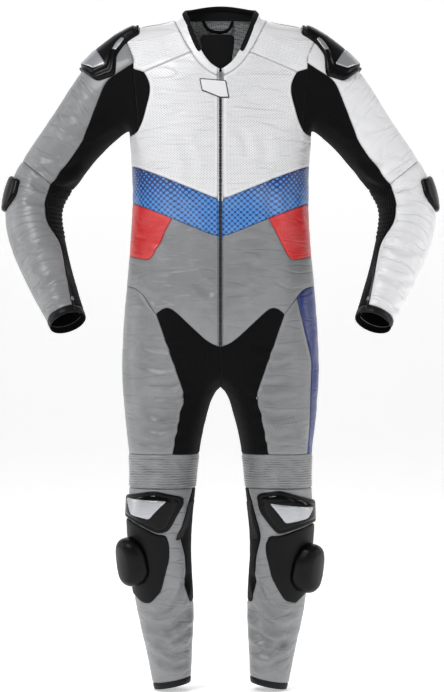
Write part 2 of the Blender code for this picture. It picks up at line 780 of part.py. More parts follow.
def drawn_in(outline, width):
    """The outline moved inwards by a width."""
    area = sum(a[0] * b[1] - b[0] * a[1] for a, b in zip(outline, outline[1:] + outline[:1]))
    turn = 1 if area > 0 else -1
    moved = []
    count = len(outline)
    for i, corner in enumerate(outline):
        before, after = outline[i - 1], outline[(i + 1) % count]
        normals = []
        for start, end in ((before, corner), (corner, after)):
            length = math.hypot(end[0] - start[0], end[1] - start[1])
            normals.append((-turn * (end[1] - start[1]) / length, turn * (end[0] - start[0]) / length))
        sum_u = normals[0][0] + normals[1][0]
        sum_v = normals[0][1] + normals[1][1]
        scale = width * 2 / max(sum_u * sum_u + sum_v * sum_v, 0.8)
        moved.append((corner[0] + sum_u * scale, corner[1] + sum_v * scale))
    return moved


def normal_field(base):
    """The surface's outward direction at any point of it, spread evenly over each triangle."""
    base.faces.ensure_lookup_table()
    tree = BVHTree.FromBMesh(base)

    def direction(point):
        place, normal, index, distance = tree.find_nearest(point)
        corners = base.faces[index].verts
        weights = poly_3d_calc([vert.co for vert in corners], place)
        return sum((vert.normal * weight for vert, weight in zip(corners, weights)), Vector())

    return direction


def overlay_mesh(name, base, field, view, kinds, outline, stand_off, edge, full, bevel, push=None):
    """A piece on the panels: the panels' own faces inside an outline, moved out."""
    bm = base.copy()
    for path in (outline, drawn_in(outline, bevel)):
        cut_path(bm, view, kinds, path, set(bm.verts), closed=True, snap=0.9)
    bmesh.ops.triangulate(bm, faces=bm.faces[:])
    flat_outline = [(u * MM, v * MM) for u, v in outline]
    faces = []
    for face in view.faces(bm, kinds):
        if inside_outline(view.flat(face.calc_center_median()), flat_outline):
            faces.append(face)
    bm.verts.index_update()
    rest = (CLEARANCE + stand_off) * MM
    borders = {start for start, end in inward_steps(faces)[1]}
    away = {vert: field(vert.co) for face in faces for vert in face.verts}

    def outer(vert):
        part = edge_distance(view.flat(vert.co), flat_outline) / (bevel * MM)
        height = edge if vert in borders else edge + (full - edge) * min(part, 1.0)
        along = push if push else away[vert]
        return vert.co + away[vert] * rest + along * height * MM

    mesh = wall_mesh(name, faces, outer, lambda vert: vert.co + away[vert] * rest)
    bm.free()
    return mesh


def add_overlays(base):
    field = normal_field(base)
    arms = {"arm": (TORSO, ARM_L, ARM_R), "sleeve": (ARM_L, ARM_R), "leg": (LEG_L, LEG_R)}
    for name, only_side, view, place, finish, stand_off, edge, full, bevel, outline in OVERLAYS:
        for side, letter in ((LEFT, "_L"), (RIGHT, "_R")):
            if only_side not in (None, side):
                continue
            left, right = arms[place][-2], arms[place][-1]
            kinds = {left if side == LEFT else right} | ({TORSO} if place == "arm" else set())
            mirrored = [(side * u, v) for u, v in outline]
            mesh = overlay_mesh(name + letter, base, field, view, kinds, mirrored, stand_off, edge, full,
                                bevel)
            add_object(name + letter, mesh, finish)
    for side, letter in ((LEFT, "_L"), (RIGHT, "_R")):
        view = KNEE_VIEWS[side]
        middle = SLIDER_MIDDLE[side]
        outline = [(side * u + side * middle[0], v + middle[1]) for u, v in SLIDER_OUTLINE]
        kinds = {LEG_L if side == LEFT else LEG_R}
        mesh = overlay_mesh("knee_slider" + letter, base, field, view, kinds, outline, 3.5 + CLEARANCE,
                            SLIDER_EDGE_HEIGHT, SLIDER_HEIGHT, SLIDER_BEVEL, push=view.eye)
        add_object("knee_slider" + letter, mesh, "black_plastic")


# ---------------------------------------------------------------- neck and zip

NECK_TAB = [(-45, 1319), (12, 1314), (19, 1276), (-1, 1276), (-40, 1292)]
TAB_EDGE_HEIGHT = 1.6
TAB_HEIGHT = 2.0
TAB_BEVEL = 5

# The hem of the neck opening is bound down to this height at each side of the front.
BINDING_FOOT = 1371.0
# The binding's section: out from the collar's face, and up from its edge.
BINDING_SECTION = [(0.7, -9.0), (1.9, -9.0), (1.9, 0.6), (1.1, 1.7), (-2.9, 1.7), (-3.7, 0.6),
                   (-3.7, -9.0), (-2.5, -9.0), (-2.5, 0.5), (0.7, 0.5)]

# The hanger loop's route inside the back of the neck: across, and up.
LOOP_ROUTE = [(-38, 1470), (-35, 1456), (-25, 1446), (-8, 1442), (10, 1443), (22, 1450), (27, 1470)]
LOOP_WIDTH = 8.0
LOOP_THICK = 1.4
# The loop's gap from the collar at its ends and at its middle.
LOOP_GAP = (0.8, 8.1)

# The wind flap behind the zip: height, left and right edges, and how far forward its middle is.
FLAP_ROWS = [
    # height left right  fore
    (1292,  -15,   15,  -130),
    (1318,  -15,   15,  -130),
    (1344,  -24,   21,  -92),
    (1370,  -36,   27,  -84),
    (1395,  -43,   30,  -75),
    (1419,  -46,   32,  -66),
]
FLAP_COLUMNS = 5
FLAP_THICK = 1.6
FLAP_CURVE = 0.004

# The zip slider and its pull, in the zip's own frame: down along it, and out from it.
SLIDER_HEIGHT_UP = 1326.0
SLIDER_HALF_WIDTH = 4.6
SLIDER_HALF_LENGTH = 6.2
SLIDER_FACE = 2.6
BRIDGE_HALF_WIDTH = 1.1
BRIDGE_SECTION = [(-3.7, 2.2), (-3.7, 4.8), (-2.9, 5.5), (2.9, 5.5), (3.7, 4.8), (3.7, 2.2),
                  (2.5, 2.2), (2.5, 4.4), (-2.5, 4.4), (-2.5, 2.2)]
PULL_AXIS_OUT = 3.5
PULL_HALF_WIDTH = 3.3
PULL_HALF_SLOT = 2.0
PULL_HALF_THICK = 0.5
PULL_SLOT_END = 5.2
PULL_LENGTH = 12.0


def loft(name, rings, closed=False):
    """A closed solid through equal rings of points, capped at both ends unless it is a hoop."""
    count = len(rings[0])
    points = [point for ring in rings for point in ring]
    faces = []
    last = len(rings) if closed else len(rings) - 1
    for i in range(last):
        j = (i + 1) % len(rings)
        for k in range(count):
            m = (k + 1) % count
            faces.append((i * count + k, i * count + m, j * count + m, j * count + k))
    if not closed:
        faces.append(tuple(reversed(range(count))))
        faces.append(tuple(range((len(rings) - 1) * count, len(rings) * count)))
    mesh = bpy.data.meshes.new(name)
    mesh.from_pydata(points, [], faces)
    bm = bmesh.new()
    bm.from_mesh(mesh)
    bmesh.ops.triangulate(bm, faces=[face for face in bm.faces if len(face.verts) > 4])
    bmesh.ops.recalc_face_normals(bm, faces=bm.faces[:])
    if bm.calc_volume(signed=True) < 0:
        bmesh.ops.reverse_faces(bm, faces=bm.faces[:])
    bm.to_mesh(mesh)
    bm.free()
    return mesh


def neck_edge(bm):
    """The collar's top edge in order, from the wearer's right of the zip round to the left."""
    start = min((v for v in bm.verts if v.is_boundary and v.co.z > 1.3 and v.co.y < 0 and v.co.x < 0),
                key=lambda v: abs(v.co.x + ZIP_HALF * MM))
    run, seen = [start], {start}
    while True:
        options = [edge.other_vert(run[-1]) for edge in run[-1].link_edges if edge.is_boundary]
        options = [vert for vert in options if vert not in seen]
        if len(run) == 1:
            options = [vert for vert in options if vert.co.x < start.co.x]
        if not options:
            return run
        run.append(options[0])
        seen.add(options[0])


def add_binding(bm):
    edge = [vert for vert in neck_edge(bm) if vert.co.z > BINDING_FOOT * MM]
    rings = []
    for i, vert in enumerate(edge):
        before, after = edge[max(i - 1, 0)], edge[min(i + 1, len(edge) - 1)]
        along = (after.co - before.co).normalized()
        inner = [link.other_vert(vert) for link in vert.link_edges if not link.is_boundary]
        folds = [(vert.co - other.co).normalized() for other in inner]
        up = min(folds, key=lambda fold: abs(fold.dot(along)))
        up = up / math.sqrt(1 - up.dot(along) ** 2)
        rings.append([vert.co + vert.normal * n * MM + up * u * MM for n, u in BINDING_SECTION])
    add_object("collar_binding", loft("collar_binding", rings), "black_leather")


def add_loop(tree):
    rings = []
    last = len(LOOP_ROUTE) - 1
    for i, (x, z) in enumerate(LOOP_ROUTE):
        before, after = LOOP_ROUTE[max(i - 1, 0)], LOOP_ROUTE[min(i + 1, last)]
        length = math.hypot(after[0] - before[0], after[1] - before[1])
        side = ((after[1] - before[1]) / length, -(after[0] - before[0]) / length)
        slack = LOOP_GAP[0] + (LOOP_GAP[1] - LOOP_GAP[0]) * math.sin(math.pi * i / last)
        ring = []
        for across, deep in ((-0.5, 0), (0.5, 0), (0.5, 1), (-0.5, 1)):
            px = x + side[0] * across * LOOP_WIDTH
            pz = z + side[1] * across * LOOP_WIDTH
            wall = tree.ray_cast(Vector((px * MM, 0, pz * MM)), Vector((0, 1, 0)))[0]
            y = wall.y / MM - WALL - slack - deep * LOOP_THICK
            ring.append(Vector((px, y, pz)) * MM)
        rings.append(ring)
    add_object("hanger_loop", loft("hanger_loop", rings), "black_stretch")


def add_flap(tree):
    rings = []
    for z, left, right, fore in FLAP_ROWS:
        front = []
        for k in range(FLAP_COLUMNS):
            x = left + (right - left) * k / (FLAP_COLUMNS - 1)
            y = fore + FLAP_CURVE * x * x
            wall = tree.ray_cast(Vector((x * MM, 0, z * MM)), Vector((0, -1, 0)))[0]
            if wall:
                y = max(y, wall.y / MM + WALL + 1.0)
            front.append(Vector((x, y, z)) * MM)
        back = [point + Vector((0, FLAP_THICK * MM, 0)) for point in reversed(front)]
        rings.append(front + back)
    add_object("wind_flap", loft("wind_flap", rings), "black_stretch")


def prism(name, outline, half_width, place):
    """An outline in the zip's down-and-out plane, given a width across it."""
    rings = [[place(x, down, out) for down, out in outline] for x in (-half_width, half_width)]
    return loft(name, rings)


def joined(name, first, second):
    """The two solids as one."""
    made = []
    for mesh in (first, second):
        made.append(bpy.data.objects.new(name, mesh))
        bpy.context.scene.collection.objects.link(made[-1])
    union = made[0].modifiers.new("join", "BOOLEAN")
    union.operation = "UNION"
    union.object = made[1]
    depsgraph = bpy.context.evaluated_depsgraph_get()
    whole = bpy.data.meshes.new_from_object(made[0].evaluated_get(depsgraph))
    for piece in made:
        bpy.data.objects.remove(piece)
    return whole


def add_zip_slider(tree):
    """The slider's body with its bridge, and the pull that hangs on the bridge."""
    start = Vector((0.0004, -1, SLIDER_HEIGHT_UP * MM))
    seat, normal = tree.ray_cast(start, Vector((0, 1, 0)))[:2]
    seat.x = 0.0
    normal = Vector((0, normal.y, normal.z)).normalized()
    down = Vector((1, 0, 0)).cross(normal)
    if down.z > 0:
        down.negate()

    def place(x, along, out):
        return seat + Vector((x * MM, 0, 0)) + down * along * MM + normal * out * MM

    length, low, face = SLIDER_HALF_LENGTH, CLEARANCE, SLIDER_FACE
    body = [(-length, low), (-length, face - 0.6), (-length + 0.9, face), (length - 0.9, face),
            (length, face - 0.6), (length, low)]
    block = prism("block", body, SLIDER_HALF_WIDTH, place)
    bridge = prism("bridge", BRIDGE_SECTION, BRIDGE_HALF_WIDTH, place)
    add_object("zip_slider", joined("zip_slider", block, bridge), "zip_metal")

    rings = []
    thick = PULL_HALF_THICK
    for x, top, bottom in ((PULL_HALF_WIDTH, -thick, PULL_LENGTH), (PULL_HALF_SLOT, thick, PULL_SLOT_END)):
        rings.append([(-x, top), (x, top), (x, bottom), (-x, bottom)])
    outer, inner = rings
    axis = place(0, 0, PULL_AXIS_OUT)
    hoop = []
    for k in range(4):
        section = []
        for ring, out in ((outer, -thick), (outer, thick), (inner, thick), (inner, -thick)):
            x, along = ring[k]
            section.append(place(x, along, PULL_AXIS_OUT + out) - axis)
        hoop.append(section)
    mesh = loft("zip_pull", hoop, closed=True)
    mesh.materials.append(material("zip_metal"))
    pull = bpy.data.objects.new("zip_pull", mesh)
    pull.location = axis - ORIGIN
    bpy.context.scene.collection.objects.link(pull)


def main():
    for old in list(bpy.data.objects):
        bpy.data.objects.remove(old)
    bm = smooth_surface(make_cage())
    locked = cut_seams(bm)
    layer = bm.faces.layers.int.new("panel")
    panels = name_panels(bm)
    numbers = {name: i + 1 for i, name in enumerate(panels)}
    for name, faces in panels.items():
        for face in faces:
            face[layer] = numbers[name]
    plain = bm.copy()
    bmesh.ops.triangulate(plain, faces=plain.faces[:], quad_method="BEAUTY", ngon_method="BEAUTY")
    plain.normal_update()
    plain.verts.index_update()
    cut_ribs(bm, layer, numbers, locked)
    bmesh.ops.triangulate(bm, faces=bm.faces[:], quad_method="BEAUTY", ngon_method="BEAUTY")
    bm.normal_update()
    bm.verts.index_update()
    plain_layer = plain.faces.layers.int["panel"]
    for name, number in numbers.items():
        faces = [face for face in bm.faces if face[layer] == number]
        plain_faces = [face for face in plain.faces if face[plain_layer] == number]
        mesh = wall_mesh(
            name, faces,
            lambda vert: vert.co + vert.normal * rib_rise(name, vert) * MM,
            lambda vert: vert.co - vert.normal * WALL * MM,
            plain_faces if same_border(faces, plain_faces) else faces,
        )
        add_object(name, mesh, finish_of(name))
    add_overlays(bm)
    tab = overlay_mesh("neck_tab", bm, normal_field(bm), FRONT, {TORSO}, NECK_TAB, 0.0, TAB_EDGE_HEIGHT,
                       TAB_HEIGHT, TAB_BEVEL)
    add_object("neck_tab", tab, "white_leather")
    tree = BVHTree.FromBMesh(bm)
    add_binding(bm)
    add_loop(tree)
    add_flap(tree)
    add_zip_slider(tree)


main()
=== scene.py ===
# %% [markdown]
# # A leather race suit, dressed over its plain solids
# The suit is a one-piece leather overall, filled out as if worn, with nobody in it. The packed
# solids give every panel, guard and metal piece its true place. Here each one gets the look of
# the real thing: soft leather with folds and sewn seams, ribbed stretch cloth, moulded plastic.

import json
import math

import bmesh
import bpy
import numpy as np
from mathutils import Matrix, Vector, kdtree, noise
from mathutils.bvhtree import BVHTree
from mathutils.geometry import intersect_point_line

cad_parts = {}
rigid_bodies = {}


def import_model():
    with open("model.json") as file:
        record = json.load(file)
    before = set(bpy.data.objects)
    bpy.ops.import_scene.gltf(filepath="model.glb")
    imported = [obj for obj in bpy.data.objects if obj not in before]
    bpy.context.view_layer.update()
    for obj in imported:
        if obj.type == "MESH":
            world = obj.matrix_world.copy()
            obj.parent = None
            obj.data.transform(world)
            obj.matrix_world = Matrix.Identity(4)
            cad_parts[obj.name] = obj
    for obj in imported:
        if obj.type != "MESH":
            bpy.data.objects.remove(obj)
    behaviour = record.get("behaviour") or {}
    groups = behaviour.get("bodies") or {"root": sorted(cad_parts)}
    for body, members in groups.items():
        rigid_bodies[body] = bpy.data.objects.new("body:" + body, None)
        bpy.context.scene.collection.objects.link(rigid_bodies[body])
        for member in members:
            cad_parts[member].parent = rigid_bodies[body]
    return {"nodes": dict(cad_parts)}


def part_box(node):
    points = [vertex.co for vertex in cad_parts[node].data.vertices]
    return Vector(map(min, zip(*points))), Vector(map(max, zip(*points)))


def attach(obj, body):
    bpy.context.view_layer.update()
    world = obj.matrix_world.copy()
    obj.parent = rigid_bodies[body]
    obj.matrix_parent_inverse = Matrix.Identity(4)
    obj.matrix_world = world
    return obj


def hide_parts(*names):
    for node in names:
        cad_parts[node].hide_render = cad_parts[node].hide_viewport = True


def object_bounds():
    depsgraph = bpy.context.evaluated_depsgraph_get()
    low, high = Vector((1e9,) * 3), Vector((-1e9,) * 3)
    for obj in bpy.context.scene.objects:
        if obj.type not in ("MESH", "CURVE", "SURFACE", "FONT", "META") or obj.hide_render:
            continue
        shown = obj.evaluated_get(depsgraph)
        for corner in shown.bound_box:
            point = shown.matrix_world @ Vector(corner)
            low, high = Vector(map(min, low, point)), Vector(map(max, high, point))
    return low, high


for old in list(bpy.data.objects):
    bpy.data.objects.remove(old)

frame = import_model()
MM = 0.001
cad_low, cad_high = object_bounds()
HEM = cad_low.z
print("solids", len(frame["nodes"]), "from", tuple(cad_low), "to", tuple(cad_high))

# %% [markdown]
# ## Floor, light and camera
# A product picture of a suit is taken straight on with a long lens, half way up, so that the
# sleeves and legs keep their proportions. The light is soft: a large panel above the camera with a
# weaker one beside it, one on each side, one behind and a pale room all round. A curved backdrop,
# whose paper glows a little, hides the line of the floor.

# %% Floor and backdrop
FLOOR_REACH, CURVE_START, CURVE_RADIUS, WALL_TOP = 9.0, 4.0, 2.0, 8.0
FLOOR = HEM - 2 * MM
PAPER_GLOW = 0.44


def backdrop():
    """A floor that curves up into a wall, by extruding one edge along a quarter circle."""
    bm = bmesh.new()
    ends = [bm.verts.new((x, -FLOOR_REACH, FLOOR)) for x in (-FLOOR_REACH, FLOOR_REACH)]
    edge = bm.edges.new(ends)
    turns = [math.radians(a) for a in range(0, 91, 6)]
    path = [(CURVE_START + CURVE_RADIUS * math.sin(a), FLOOR + CURVE_RADIUS * (1 - math.cos(a)))
            for a in turns]
    path.append((path[-1][0], FLOOR + WALL_TOP))
    for y, z in path:
        made = bmesh.ops.extrude_edge_only(bm, edges=[edge])["geom"]
        row = [item for item in made if isinstance(item, bmesh.types.BMVert)]
        for vert in row:
            vert.co.y, vert.co.z = y, z
        edge = next(item for item in made if isinstance(item, bmesh.types.BMEdge)
                    and all(vert in row for vert in item.verts))
    bmesh.ops.recalc_face_normals(bm, faces=bm.faces[:])
    mesh = bpy.data.meshes.new("backdrop")
    bm.to_mesh(mesh)
    bm.free()
    mesh.shade_smooth()
    made = bpy.data.objects.new("backdrop", mesh)
    bpy.context.scene.collection.objects.link(made)
    return made


paper = bpy.data.materials.new("paper backdrop")
paper.use_nodes = True
shader = paper.node_tree.nodes["Principled BSDF"]
shader.inputs["Base Color"].default_value = (0.93, 0.93, 0.93, 1.0)
shader.inputs["Roughness"].default_value = 0.9
shader.inputs["Emission Color"].default_value = (1.0, 1.0, 1.0, 1.0)
shader.inputs["Emission Strength"].default_value = PAPER_GLOW
backdrop().data.materials.append(paper)

# %% Camera
CAMERA_DISTANCE = 4.6
VIEW_HEIGHT = 692 * 2.177 * MM
VIEW_MIDDLE = Vector((0.0033, 0.0, -0.651))
SENSOR = 36.0

lens_camera = bpy.data.cameras.new("camera")
lens_camera.sensor_width = SENSOR
lens_camera.lens = SENSOR * CAMERA_DISTANCE / VIEW_HEIGHT
camera = bpy.data.objects.new("camera", lens_camera)
camera.location = VIEW_MIDDLE + Vector((0, -CAMERA_DISTANCE, 0))
camera.rotation_euler = (math.radians(90), 0, 0)
bpy.context.scene.collection.objects.link(camera)
bpy.context.scene.camera = camera
print("lens", round(lens_camera.lens, 1), "mm at", CAMERA_DISTANCE, "m")


# %% Soft boxes
def soft_box(name, place, target, size, power):
    """A rectangular light that faces its target; its size is in metres and its power in watts."""
    light = bpy.data.lights.new(name, "AREA")
    light.shape = "RECTANGLE"
    light.size, light.size_y = size
    light.energy = power
    lamp = bpy.data.objects.new(name, light)
    lamp.location = place
    lamp.rotation_euler = (Vector(target) - Vector(place)).to_track_quat("-Z", "Y").to_euler()
    bpy.context.scene.collection.objects.link(lamp)


MIDDLE = (0.0, 0.0, -0.65)
soft_box("key light", (-1.6, -2.2, 2.1), MIDDLE, (1.1, 1.1), 62)
soft_box("fill light", (2.6, -2.6, 0.2), MIDDLE, (1.2, 2.2), 12)
soft_box("left side light", (-3.0, 0.2, 0.2), MIDDLE, (0.7, 2.4), 20)
soft_box("right side light", (3.0, 0.2, 0.2), MIDDLE, (0.7, 2.4), 20)
soft_box("back light", (0.0, 3.2, 1.6), MIDDLE, (2.4, 1.2), 30)

world = bpy.data.worlds.new("studio")
world.use_nodes = True
room = world.node_tree.nodes["Background"]
room.inputs["Color"].default_value = (1.0, 1.0, 1.0, 1.0)
room.inputs["Strength"].default_value = 0.25
bpy.context.scene.world = world
bpy.context.scene.view_settings.view_transform = "Standard"

# %% [markdown]
# ## The suit's surface
# The solids are walls with an outer and an inner skin, in flat facets. The inner skin of every
# panel is plain, without ribs, so it is the better start for soft leather. All inner skins are
# sewn together into one surface, moved out by the wall, divided finely with rounded edges, and
# later parted again along the seams. Working on the whole surface keeps neighbours flush.

# %% Which nodes are cloth
SIDES = (("_L", 1), ("_R", -1))


def short_name(name):
    return name[:-2] if name.endswith(("_L", "_R")) else name


CLOTH = [name for name in sorted(frame["nodes"]) if short_name(name) in (
    "back", "seat", "collar", "zip_tape", "thigh_side", "yoke", "chest", "armpit", "chevron", "flank",
    "belly", "thigh", "inner_leg", "knee_pleats", "shin", "calf_stretch", "ankle_band", "sleeve",
    "inner_sleeve", "forearm", "elbow_stretch", "cuff")]
WALL = 1.8 * MM
SEAM_REACH = 2.6 * MM
ARM_LINE = [Vector(p) for p in ((0.20, 0.0, -0.09), (0.30, 0.0, -0.175), (0.41, 0.0, -0.33),
                                (0.40, -0.04, -0.42), (0.32, -0.15, -0.62))]
LEG_OUT, LEG_TOP = 0.122, -0.76
print("cloth nodes", len(CLOTH))


# %% Find a wall's inner skin
def on_arm(spot):
    """For a place beside the left arm: its middle line there, the way along it and the length so far."""
    best, passed = None, 0.0
    for a, b in zip(ARM_LINE, ARM_LINE[1:]):
        place, part = intersect_point_line(spot, a, b)
        part = min(max(part, 0.0), 1.0)
        place = a.lerp(b, part)
        gap = (spot - place).length
        if best is None or gap < best[0]:
            best = (gap, place, (b - a).normalized(), passed + part * (b - a).length)
        passed += (b - a).length
    return best[1:]


def axis_point(point, name):
    """The nearest place on the middle line of the limb or of the torso."""
    side = 1 if point.x > 0 else -1
    if any(word in name for word in ("sleeve", "forearm", "elbow", "cuff", "shoulder")):
        place = on_arm(Vector((abs(point.x), point.y, point.z)))[0]
        return Vector((place.x * side, place.y, place.z))
    if point.z < LEG_TOP:
        return Vector((LEG_OUT * side, 0.005, point.z))
    return Vector((0, 0, point.z))


def inner_skin(name):
    """The faces of a wall that look at the hollow, turned to look out."""
    bm = bmesh.new()
    bm.from_mesh(frame["nodes"][name].data)
    bmesh.ops.remove_doubles(bm, verts=bm.verts, dist=1e-6)
    bm.normal_update()
    waiting, best = set(bm.faces), None
    for start in bm.faces:
        if start not in waiting:
            continue
        waiting.discard(start)
        group, stack, facing = [], [start], 0.0
        while stack:
            face = stack.pop()
            group.append(face)
            middle = face.calc_center_median()
            away = middle - axis_point(middle, name)
            facing += face.calc_area() * face.normal.dot(away.normalized())
            for edge in face.edges:
                for other in edge.link_faces:
                    if other in waiting and face.normal.dot(other.normal) > 0.62:
                        waiting.discard(other)
                        stack.append(other)
        if best is None or facing < best[0]:
            best = (facing, group)
    keep = set(best[1])
    bmesh.ops.delete(bm, geom=[face for face in bm.faces if face not in keep], context="FACES")
    bmesh.ops.reverse_faces(bm, faces=bm.faces[:])
    return bm


# %% Sew the inner skins together
whole = bmesh.new()
panel_of = whole.faces.layers.int.new("panel")
for number, name in enumerate(CLOTH):
    skin = inner_skin(name)
    mesh = bpy.data.meshes.new("skin")
    skin.to_mesh(mesh)
    skin.free()
    before = len(whole.faces)
    whole.from_mesh(mesh)
    bpy.data.meshes.remove(mesh)
    whole.faces.ensure_lookup_table()
    for face in whole.faces[before:]:
        face[panel_of] = number
print("inner skins", len(whole.faces), "faces")


def point_tree(points):
    """A tree that finds the nearest of these points quickly."""
    tree = kdtree.KDTree(len(points))
    for i, point in enumerate(points):
        tree.insert(point, i)
    tree.balance()
    return tree


def sew(bm):
    """Joins each border vertex with its twins on the neighbouring panels."""
    border = [vert for vert in bm.verts if vert.is_boundary]
    tree = point_tree([vert.co.copy() for vert in border])
    owner = [{face[panel_of] for face in vert.link_faces} for vert in border]
    leader = list(range(len(border)))

    def find(i):
        while leader[i] != i:
            i = leader[i]
        return i

    for i, vert in enumerate(border):
        taken = set(owner[i])
        for place, j, gap in sorted(tree.find_range(vert.co, SEAM_REACH), key=lambda item: item[2]):
            if not owner[j] & taken:
                taken |= owner[j]
                leader[find(j)] = find(i)
    targets, members = {}, {}
    for i, vert in enumerate(border):
        members.setdefault(find(i), []).append(vert)
    for group in members.values():
        middle = sum((vert.co for vert in group), Vector()) / len(group)
        for vert in group:
            vert.co = middle
        for vert in group[1:]:
            targets[vert] = group[0]
    bmesh.ops.weld_verts(bm, targetmap=targets)


sew(whole)
whole.normal_update()
for vert, away in [(vert, vert.normal.copy()) for vert in whole.verts]:
    vert.co += away * WALL
whole.normal_update()
open_edges = [edge for edge in whole.edges if edge.is_boundary]
print("sewn surface", len(whole.verts), "vertices,", len(open_edges), "open edges")

# %% [markdown]
# ## From facets to soft leather
# A wall of flat triangles can be made round by dividing its long edges again and again. Each new
# point is lifted a little along the normals of the two ends, as a circle through them would be.
# A few rounds of smoothing then even out the diagonals. Subdivision modifiers would round the
# corners where seams meet, so the dividing is done by hand here and the seams stay where they are.

# %% Divide the long edges
LONGEST_EDGE = 6.2 * MM


def divide(bm, edges):
    """Halves these edges, and lifts each new point onto the arc between its ends."""
    targets = {}
    for edge in edges:
        a, b = edge.verts
        middle = (a.co + b.co) / 2
        lift = a.normal * (middle - a.co).dot(a.normal) + b.normal * (middle - b.co).dot(b.normal)
        targets[tuple(round(value * 1e7) for value in middle)] = middle - lift * 0.25
    made = bmesh.ops.subdivide_edges(bm, edges=edges, cuts=1, use_grid_fill=True)
    for item in made["geom_inner"]:
        if isinstance(item, bmesh.types.BMVert):
            item.co = targets.get(tuple(round(value * 1e7) for value in item.co), item.co)
    bmesh.ops.triangulate(bm, faces=[face for face in bm.faces if len(face.verts) > 3])
    bm.normal_update()


for turn in range(5):
    long_edges = [edge for edge in whole.edges if edge.calc_length() > LONGEST_EDGE * 1.25]
    if long_edges:
        divide(whole, long_edges)


def is_seam(edge):
    """Whether an edge parts two panels."""
    faces = edge.link_faces
    return len(faces) == 2 and faces[0][panel_of] != faces[1][panel_of]


def seam_neighbours(bm):
    """Each point in the run of a seam or of a rim, with the points before and after it."""
    runs = {}
    for edge in bm.edges:
        if edge.is_boundary or is_seam(edge):
            for vert in edge.verts:
                runs.setdefault(vert, []).append(edge.other_vert(vert))
    return {vert: others for vert, others in runs.items() if len(others) == 2}


runs = seam_neighbours(whole)
for turn in range(14):
    evened = [(vert, vert.co * 0.5 + (others[0].co + others[1].co) * 0.25) for vert, others in runs.items()]
    for vert, place in evened:
        vert.co = place
    if turn % 2:
        free = [vert for vert in whole.verts if not vert.is_boundary and vert not in runs]
        bmesh.ops.smooth_vert(whole, verts=free, factor=0.5, use_axis_x=True, use_axis_y=True,
                              use_axis_z=True)
whole.normal_update()
smooth_tree = BVHTree.FromBMesh(whole)
print("divided surface", len(whole.faces), "triangles")

# %% [markdown]
# ## Ribs
# The knee, the yoke and the inner elbow have ribbed leather or cloth that stretches. A rib is only
# a few millimetres wide, so lines are cut across the panel at each crest, valley and flank, and
# the points between are raised. Cutting gives clean ribs with few triangles. Two cuts on each side
# of the main zip divide its tape from the leather lips that nearly cover it.

# %% Cut lines for the ribs
SHOULDER = 1400.0
RIBS = {
    # panel:        (first line,                last line,                   ribs, height)
    "yoke":          (((70, 1374), (200, 1340)), ((90, 1426), (170, 1409)), 12, 1.3),
    "knee_pleats":   (((20, 511), (230, 511)), ((20, 444), (230, 444)), 13, 4.2),
    "elbow_stretch": (((280, 1075), (390, 1093)), ((280, 974), (370, 984)), 11, 2.6),
}


def panel_faces(bm, name):
    """All faces of one panel."""
    number = CLOTH.index(name)
    return [face for face in bm.faces if face[panel_of] == number]


def frame_line(line, side):
    """A line of the front view, in millimetres out and up from the hem, put in the frame."""
    return [Vector((side * out, 0, up - SHOULDER)) * MM for out, up in line]


def cut_faces(bm, faces, place, across):
    """Cuts these faces along a plane."""
    edges = dict.fromkeys(edge for face in faces for edge in face.edges)
    verts = dict.fromkeys(vert for face in faces for vert in face.verts)
    bmesh.ops.bisect_plane(bm, geom=[*verts, *edges, *faces], dist=0.06 * MM, plane_co=place,
                           plane_no=across)


def cut_rib_lines(bm, name, side, first, last, count):
    """Four cuts for each rib, at its crest, its valley and its flanks."""
    ends = [frame_line(line, side) for line in (first, last)]
    steps = 4 * count
    for step in range(steps + 1):
        start = ends[0][0].lerp(ends[1][0], step / steps)
        end = ends[0][1].lerp(ends[1][1], step / steps)
        across = (end - start).cross(Vector((0, 1, 0))).normalized()
        faces = panel_faces(bm, name)
        faces = [face for face in faces
                 if min((v.co - start).dot(across) for v in face.verts) < 0
                 < max((v.co - start).dot(across) for v in face.verts)]
        cut_faces(bm, faces, start, across)


for panel, (first, last, count, height) in RIBS.items():
    for letter, side in SIDES:
        cut_rib_lines(whole, panel + letter, side, first, last, count)
LIP_START, LIP_END = 2.4, 3.4
for out in (-LIP_END, -LIP_START, LIP_START, LIP_END):
    cut_faces(whole, panel_faces(whole, "zip_tape"), (out * MM, 0, 0), (1, 0, 0))
bmesh.ops.triangulate(whole, faces=[face for face in whole.faces if len(face.verts) > 3])
whole.normal_update()
print("with rib and zip lines", len(whole.faces), "triangles")

# %% [markdown]
# ## Seams
# A sewn seam pulls the leather down into a small valley, and the leather swells a little beside
# it. The seam is where two panels meet, so its edges are easy to find. The mesh is divided once
# more beside it, and each point then knows its distance from the nearest seam.

# %% Distance from the nearest seam
seam_verts = {vert for edge in whole.edges if is_seam(edge) for vert in edge.verts}
beside = [edge for edge in whole.edges
          if (edge.verts[0] in seam_verts) != (edge.verts[1] in seam_verts)
          and edge.calc_length() > 4.2 * MM]
divide(whole, beside)
seam_edges = [edge for edge in whole.edges if is_seam(edge)]

seam_spots = []
for edge in seam_edges:
    a, b = edge.verts
    steps = max(1, round(edge.calc_length() / (1.5 * MM)))
    seam_spots += [a.co.lerp(b.co, (i + 0.5) / steps) for i in range(steps)]
seam_tree = point_tree(seam_spots)
seam_length = sum(edge.calc_length() for edge in seam_edges)
print("seams", round(seam_length, 2), "m;", len(whole.faces), "triangles")
